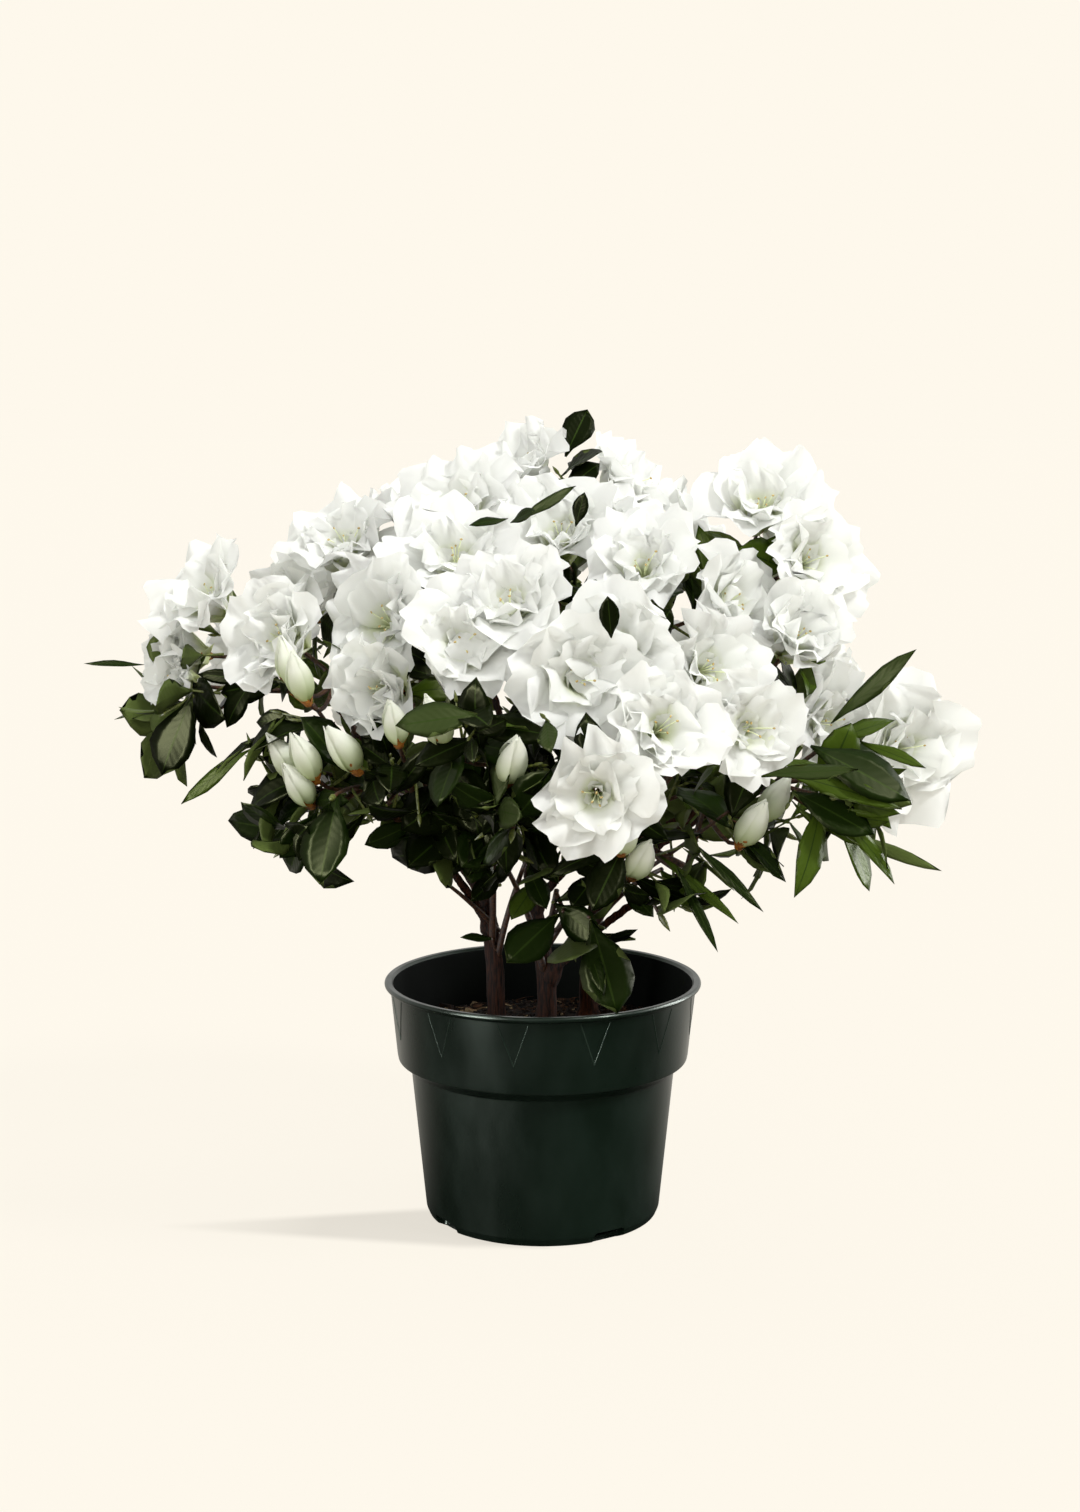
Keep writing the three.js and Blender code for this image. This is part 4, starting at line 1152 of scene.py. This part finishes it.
# Single leaves in their places: root, tip, kind and the number of the blade's skin.
placedLeaves = [
    ((12, 60, 394), (24, 70, 421), "broad", 0),
    ((-12, -36, 364), (15, -48, 384), "lance", 3),
    ((16, -40, 362), (20, -46, 379), "oval", 0),
    ((-17, -42, 366), (-36, -50, 364), "narrow", 1),
    ((-16, -42, 364), (-4, -52, 371), "oval", 1),
    ((-25, -8, 148), (-42, -16, 152), "narrow", 1),
    ((58, -50, 193), (74, -62, 176), "oval", 2),
    ((40, -24, 180), (56, -40, 168), "oval", 1),
    ((-8, -28, 190), (2, -46, 172), "oval", 1),
    ((-20, -30, 188), (-36, -46, 176), "oval", 0),
    ((28, -32, 188), (14, -50, 174), "broad", 0),
    ((-2, -30, 184), (-16, -50, 168), "oval", 2),
    ((31, -132, 316), (29, -140, 336), "oval", 0),
    ((140, -66, 268), (178, -78, 307), "lance", 3),
    ((126, -100, 262), (174, -112, 239), "oval", 1),
    ((100, -116, 250), (146, -128, 258), "lance", 3),
    ((112, -104, 250), (170, -118, 238), "lance", 2),
    ((118, -96, 240), (156, -112, 222), "oval", 1),
    ((150, -80, 262), (182, -96, 252), "lance", 2),
    ((-200, -22, 292), (-231, -24, 294), "grass", 1),
    ((-142, -66, 256), (-178, -76, 231), "lance", 2),
    ((-172, -50, 280), (-190, -56, 240), "broad", 0),
    ((-28, -152, 284), (-66, -164, 281), "oval", 3),
    ((-30, -140, 272), (-58, -156, 262), "oval", 0),
    ((8, -48, 170), (-18, -72, 151), "broad", 1),
    ((24, -52, 168), (37, -74, 125), "broad", 1),
    ((22, -56, 158), (30, -72, 134), "narrow", 1),
    ((56, -82, 206), (95, -102, 178), "grass", 2),
    ((72, -90, 214), (105, -108, 184), "grass", 1),
    ((64, -90, 202), (84, -104, 163), "grass", 1),
]


def leafTemplate():
    across, along, quads = gridSheet(len(bladeShape["columns"]) - 1, bladeShape["rows"])
    columns = np.interp(across, np.linspace(-1, 1, len(bladeShape["columns"])), bladeShape["columns"])
    isEdge = (np.abs(across) > 0.999) | (along < 0.001) | (along > 0.999)
    lower = np.arange(len(across))
    lower[~isEdge] = len(across) + np.arange((~isEdge).sum())
    columns, along = (np.concatenate([value, value[~isEdge]]) for value in (columns, along))
    isUnder = np.arange(len(columns)) >= len(across)
    middle = np.abs(across[quads]).max(1) < 0.3
    return columns, along, isUnder, np.concatenate([quads, lower[quads][:, ::-1]]), middle


def outline(along, peak):
    blade = np.clip((along - bladeShape["petiole"]) / (1 - bladeShape["petiole"]), 0, 1)
    return np.maximum(np.sin(math.pi * blade**peak) ** (0.7 + 0.22 * blade), 0.06 * (1 - along))


# One leaf. "along" and "normal" are its directions at the root, skin is its blade's number among
# the skins, and limp how much it bends.
def heapLeaf(heap, template, one, kind, skin, chance, limp=1):
    columns, along, isUnder, quads, isMiddle = template
    ratio, peak, longer = bladeShape["kinds"][kind]
    length = one["length"] * longer
    sag, fold = limp * between(chance, *bladeShape["sag"]), limp * between(chance, *bladeShape["fold"])
    wave, phase = between(chance, *bladeShape["wave"]), between(chance, 0, 6)
    twist = limp * between(chance, -1, 1) * bladeShape["twist"]
    half = outline(along, peak) * ratio * 0.5 * length
    side, normal = one["normal"].cross(one["along"]), one["normal"]
    rolled = twist * along[:, None]
    sideways = np.array(side) * np.cos(rolled) + np.array(normal) * np.sin(rolled)
    upward = np.array(normal) * np.cos(rolled) - np.array(side) * np.sin(rolled)
    ripple = np.sin(bladeShape["waves"] * along + phase)
    lift = fold * np.abs(columns) * half + wave * length * np.abs(columns) * ripple
    lift -= isUnder * (bladeShape["thickness"] + bladeShape["rib"] * (np.abs(columns) < 0.1))
    bend = np.array(one["along"]) * (along - 0.35 * sag * along**3)[:, None] * length
    points = np.array(one["root"]) + bend + sideways * (columns * half)[:, None] + upward * lift[:, None]
    points -= np.array(normal) * (sag * along**1.8 * length)[:, None]
    top = np.where(isMiddle, leafSkins.index(midrib), skin)
    skins = np.concatenate([top, np.full(len(quads) // 2, leafSkins.index(bladeUnder))])
    heapUp(heap, points, quads, skins, np.stack([along, columns], 1))


def makeLeaves(name, some, nodes, placed):
    heap = newHeap()
    template = leafTemplate()
    for grown, mass in some:
        chance = seededChance(seeds["leaves"] + masses.index(mass))
        # the side sets the mix of tones: darker on the left as painted shade, lighter on the right as
        # painted light
        side = "right" if mass["at"].x > bladeShape["rightFrom"] else "left"
        tone = 0
        for k, one in enumerate(grown["leaves"]):
            if k % bladeShape["perTone"] == 0:
                tone = int(np.searchsorted(bladeShape[side + "Tones"], chance()))
            draw = chance()
            kind = next(kind for kind, share in bladeShape[side + "Mix"].items() if draw <= share)
            skin = leafSkins.index(freshBlade) if chance() < bladeShape["freshShare"] else tone
            heapLeaf(heap, template, one, kind, skin, chance)
    chance = seededChance(seeds["placed"])
    for root, tip, kind, tone in placed:
        run = Vector(tip) - Vector(root)
        along = run.normalized()
        upward = Vector(bladeShape["placedNormal"])
        normal = (upward - along * along.dot(upward)).normalized()
        length = run.length / bladeShape["kinds"][kind][2]
        one = {"root": Vector(root), "along": along, "normal": normal, "length": length}
        heapLeaf(heap, template, one, kind, tone, chance, bladeShape["placedLimp"])
    makePiece(name, heap, leafSkins, nodes)


# Petals: each runs from the bloom's base at one angle from its axis to another at the edge. crease
# is how deep its middle lies, and ruffle and pace how high and how close the waves of its edge are.
petals = {
    "outer": {"grid": (10, 6), "length": 42, "half": 21.5, "from": (12, 26), "to": (58, 106), "lift": 0,
              "ruffle": (3, 6.5), "pace": (0.5, 1.2), "crease": 0.04},
    "inner": {"grid": (9, 6), "length": 32, "half": 14.5, "from": (2, 16), "to": (30, 84), "lift": 3,
              "ruffle": (2.4, 5.4), "pace": (0.6, 1.3), "crease": 0.1},
    "petaloid": {"grid": (4, 5), "length": 18, "half": 6.5, "from": (0, 14), "to": (14, 60), "lift": 4,
                 "ruffle": (1, 2.2), "pace": (0.7, 1.3), "crease": 0.4},
}
petalRule = {
    "droop": 14,  # degrees by which the petals below the axis hang further
    "shut": (0.4, 0.86),  # the angle at the base and the length of a petal that is still closed
    "lengths": (0.93, 1.06),
    "widths": (0.9, 1.08),
    "curl": (-0.7, 0.8),
    "lean": (-0.2, 0.2),
    "point": (-0.07, 0.035),  # how far the tip stands out, or is notched
    "claw": 0.2,  # the width at the base
    "widest": 0.6,  # where it is widest
    "narrowing": 0.26,  # by the tip
    "rounding": 0.2,  # how far its corners stay back
    "scallop": 0.035,
    "fine": (0.3, 8),  # height and pace of the finer waves
    "baseRadius": 2.2,
}


def smoothStep(low, high, value):
    share = np.clip((value - low) / (high - low), 0, 1)
    return share * share * (3 - 2 * share)


def heapPetal(heap, flower, kind, sheet, angle, chance, opened):
    across, along, quads = sheet
    shape = petals[kind]
    size = flower["size"]
    axis = np.array(flower["facing"])
    right, upward = (np.array(one) for one in crossAxes(flower["facing"]))
    radial = turned(right, upward, angle)
    tangent = np.cross(axis, radial)
    rule = petalRule
    droop = rule["droop"] * max(0, -radial[2])
    angleShut, lengthShut = rule["shut"]
    first = math.radians(between(chance, *shape["from"]) * (angleShut + (1 - angleShut) * opened))
    last = math.radians((between(chance, *shape["to"]) + droop) * opened)
    length = shape["length"] * size * between(chance, *rule["lengths"])
    length *= lengthShut + (1 - lengthShut) * opened
    wide = shape["half"] * size * between(chance, *rule["widths"])
    amplitude = between(chance, *shape["ruffle"]) * size
    pace, phase, second = between(chance, *shape["pace"]), between(chance, 0, 6.3), between(chance, 0, 6.3)
    curl, lean, point = (between(chance, *rule[key]) for key in ("curl", "lean", "point"))
    fine = np.linspace(0, 1, 41)
    slopes = first + (last - first) * fine**1.15
    steps = 2 * (len(fine) - 1)
    # how far along the axis and out from it the petal has come
    runs = [np.cumsum(part(slopes[:-1]) + part(slopes[1:])) / steps for part in (np.cos, np.sin)]
    axial, outward = (np.interp(along, fine, np.concatenate([[0], run])) for run in runs)
    slope = np.interp(along, fine, slopes)[:, None]
    ahead = axis * np.cos(slope) + radial * np.sin(slope)
    normal = axis * np.sin(slope) - radial * np.cos(slope)
    widest, claw = rule["widest"], rule["claw"]
    half = wide * (claw + (1 - claw) * np.sin(math.pi / 2 * np.minimum(1, along / widest)) ** 1.3)
    half *= 1 - rule["narrowing"] * np.clip((along - widest) / (1 - widest), 0, 1) ** 2
    reach = outward * length + rule["baseRadius"]
    base = np.array(flower["at"]) - axis * (bloom["depth"] * size - shape["lift"] * size)
    points = base + axis * (axial * length)[:, None] + radial * reach[:, None]
    points += tangent * (across * half + lean * length * along**2)[:, None]
    lift = half * across**2 * np.minimum(0.6, 0.5 * half / (reach + 1)) * (1 - 0.55 * along)
    edge = smoothStep(0.3, 1, np.maximum(np.abs(across), (along - 0.3) / 0.7))
    place = across * (1 + 1.2 * (1 - along))
    height, often = rule["fine"]
    waves = np.sin(2 * math.pi * pace * place + phase) + height * np.sin(often * place + second)
    lift += amplitude * edge * waves
    lift += curl * amplitude * along**2 * across
    lift += shape["crease"] * half * np.abs(across) * np.sin(math.pi * np.minimum(1, along * 1.15))
    points += normal * lift[:, None]
    notch = rule["rounding"] * length * np.abs(across) ** 2.4 * along**3
    notch += rule["scallop"] * length * np.sin(9 * across + phase) * along**4
    notch -= point * length * np.exp(-((across / 0.3) ** 2)) * along**6
    points -= ahead * notch[:, None]
    heapUp(heap, points, quads, 0, np.stack([across * 0.5, along], 1))


# A bloom has two rings of five petals, and smaller ones round its stamens.
ring = {"count": 5, "outerJitter": 7, "innerJitter": 9, "petaloids": 4, "scaleShare": 0.6}


def makeBlooms():
    sheets = {kind: gridSheet(*shape["grid"]) for kind, shape in petals.items()}
    scaleSheet = gridSheet(*scales["grid"])
    outerHeap, innerHeap, stamenHeap, scaleHeap = newHeap(), newHeap(), newHeap(), newHeap()
    step = 360 / ring["count"]
    for index, flower in enumerate(flower for grown in growths for flower in grown["blooms"]):
        chance = seededChance(seeds["blooms"] + index)
        opened = flower["open"]
        turn = math.radians(flower["roll"])
        for k in range(ring["count"]):
            jitter = between(chance, -ring["outerJitter"], ring["outerJitter"])
            angle = turn + math.radians(step * k + jitter)
            heapPetal(outerHeap, flower, "outer", sheets["outer"], angle, chance, opened)
        for k in range(ring["count"]):
            jitter = between(chance, -ring["innerJitter"], ring["innerJitter"])
            angle = turn + math.radians(step / 2 + step * k + jitter)
            heapPetal(innerHeap, flower, "inner", sheets["inner"], angle, chance, opened)
        for k in range(ring["petaloids"] + index % 3):
            angle = between(chance, 0, 2 * math.pi)
            heapPetal(innerHeap, flower, "petaloid", sheets["petaloid"], angle, chance, opened)
        heapStamens(stamenHeap, flower, chance)
        if chance() < ring["scaleShare"] or opened < 1:
            heapScales(scaleHeap, scaleSheet, flower, bloom["depth"], chance)
    for one in (one for grown in growths for one in grown["buds"]):
        chance = seededChance(int(seeds["budScales"] + one["at"].x))
        heapScales(scaleHeap, scaleSheet, one, 0.47 * bud["length"], chance)
    makePiece("outerPetals", outerHeap, petalSkins[:1])
    makePiece("innerPetals", innerHeap, petalSkins[1:2])
    makePiece("stamens", stamenHeap, [filament, anther])
    makePiece("budScales", scaleHeap, [scaleSkin])


stamens = {"count": 5, "length": (15, 22), "radius": 0.26, "spread": (4, 24), "pistil": 1.25,
           "pouch": ((-0.7, 0.25), (-0.25, 0.5), (0.35, 0.5), (0.7, 0.25))}  # places and radii


def heapStamens(heap, flower, chance):
    across, upward = crossAxes(flower["facing"])
    base = flower["at"] - flower["facing"] * (bloom["depth"] * flower["size"] - 3)
    for k in range(stamens["count"]):
        angle = 2 * math.pi * k / stamens["count"] + between(chance, -0.3, 0.3)
        lean = math.radians(between(chance, *stamens["spread"]) * flower["open"])
        out = turned(across, upward, angle)
        length = between(chance, *stamens["length"]) * flower["size"] * (1 if k else stamens["pistil"])
        tip = base + (flower["facing"] * math.cos(lean) + out * math.sin(lean)) * length
        curve = bendCurve(base + out * 0.8, base + flower["facing"] * length * 0.5, tip, 12)
        heapTube(heap, pathAlong(curve, 5), [stamens["radius"]] * 6, 4)
        pouch = [tip + out * step for step, _ in stamens["pouch"]]
        heapTube(heap, pouch, [radius for _, radius in stamens["pouch"]], 4, 1)


# Papery pointed scales round the foot of a bloom or bud.
scales = {"count": 4, "grid": (4, 5), "length": (8, 12), "half": 2.7, "flare": (0.15, 0.55)}


def heapScales(heap, sheet, flower, below, chance):
    across, along, quads = sheet
    facing, size = flower["facing"], flower["size"]
    foot = np.array(flower["at"] - facing * below * size)
    right, upward = (np.array(one) for one in crossAxes(facing))
    axis = np.array(facing)
    for k in range(scales["count"]):
        angle = 2 * math.pi * k / scales["count"] + between(chance, -0.4, 0.4)
        radial = turned(right, upward, angle)
        tangent = np.cross(axis, radial)
        length, flare = between(chance, *scales["length"]) * size, between(chance, *scales["flare"])
        half = scales["half"] * size * np.sin(math.pi * (0.12 + 0.88 * along) ** 0.8) ** 0.8
        reach = 1.5 + 3.4 * size * np.sin(0.9 * math.pi / 2 * along) + flare * 4 * along**3
        reach -= 0.5 * across**2 * half
        points = foot + axis * ((along - 0.25) * length)[:, None]
        points += radial * reach[:, None] + tangent * (across * half)[:, None]
        heapUp(heap, points, quads, 0, np.stack([across, along], 1))


# Closed buds: three petals rolled round each other over a core, green below and white above.
budShape = {"sides": 12, "rings": 9, "petals": 3, "grid": (8, 10), "wrap": 1.3, "twist": 0.9,
            "overlap": 0.34, "plump": 0.82, "bend": 2.5}


def budRadius(share, wide):
    return 0.5 * wide * np.sin(math.pi * share**0.8) ** 0.8 * (1 - 0.16 * share**3) + 0.2


def makeBuds():
    heap = newHeap()
    across, along, quads = gridSheet(*budShape["grid"])
    for index, one in enumerate(one for grown in growths for one in grown["buds"]):
        chance = seededChance(seeds["buds"] + index)
        long, wide = bud["length"] * one["size"], bud["width"] * one["size"] * budShape["plump"]
        right, upward = (np.array(two) for two in crossAxes(one["facing"]))
        axis = np.array(one["facing"])
        foot = np.array(one["at"]) - axis * 0.5 * long
        bend = right * between(chance, -budShape["bend"], budShape["bend"])
        shares = np.linspace(0.03, 0.95, budShape["rings"])
        path = [Vector(foot + axis * long * share + bend * share**2) for share in shares]
        points, skin, grid = tube(path, [budRadius(share, wide) for share in shares], budShape["sides"])
        heapUp(heap, points, skin, 0, grid / (1, budShape["rings"] - 1))
        first = between(chance, 0, 6)
        for k in range(budShape["petals"]):
            wrapped = across * budShape["wrap"] * (1 - 0.6 * along**2.5)
            turn = first + 2 * math.pi * k / budShape["petals"] + wrapped + budShape["twist"] * along
            rise = long * (0.01 + (0.99 + between(chance, -0.03, 0.07)) * along)
            overlap = budShape["overlap"] * (across + 1) / 2
            outer = budRadius(np.minimum(along, 0.97), wide) * (1.04 + overlap)
            outer += 0.35 * np.exp(-((across / 0.16) ** 2)) * along  # a rib along its middle
            points = foot + axis * rise[:, None] + bend * (along**2)[:, None]
            points += right * (outer * np.cos(turn))[:, None] + upward * (outer * np.sin(turn))[:, None]
            heapUp(heap, points, quads, 0, np.stack([across * 0.5, along], 1))
    makePiece("flowerBuds", heap, petalSkins[2:])


makePot()
makeMarks()
makeSoil()
makeCrumbs()
print("pot and soil made")
makeLimbs()
makeTwigs()
print("wood made")
pairs = list(zip(growths, masses))
half = len(pairs) // 2
names = ["mass_" + mass["name"] for mass in masses]
makeLeaves("leftLeaves", pairs[:half], names[:half], [one for one in placedLeaves if one[0][0] < 0])
makeLeaves("rightLeaves", pairs[half:], names[half:], [one for one in placedLeaves if one[0][0] > 0])
makeBlooms()
makeBuds()
print("leaves and blooms made")
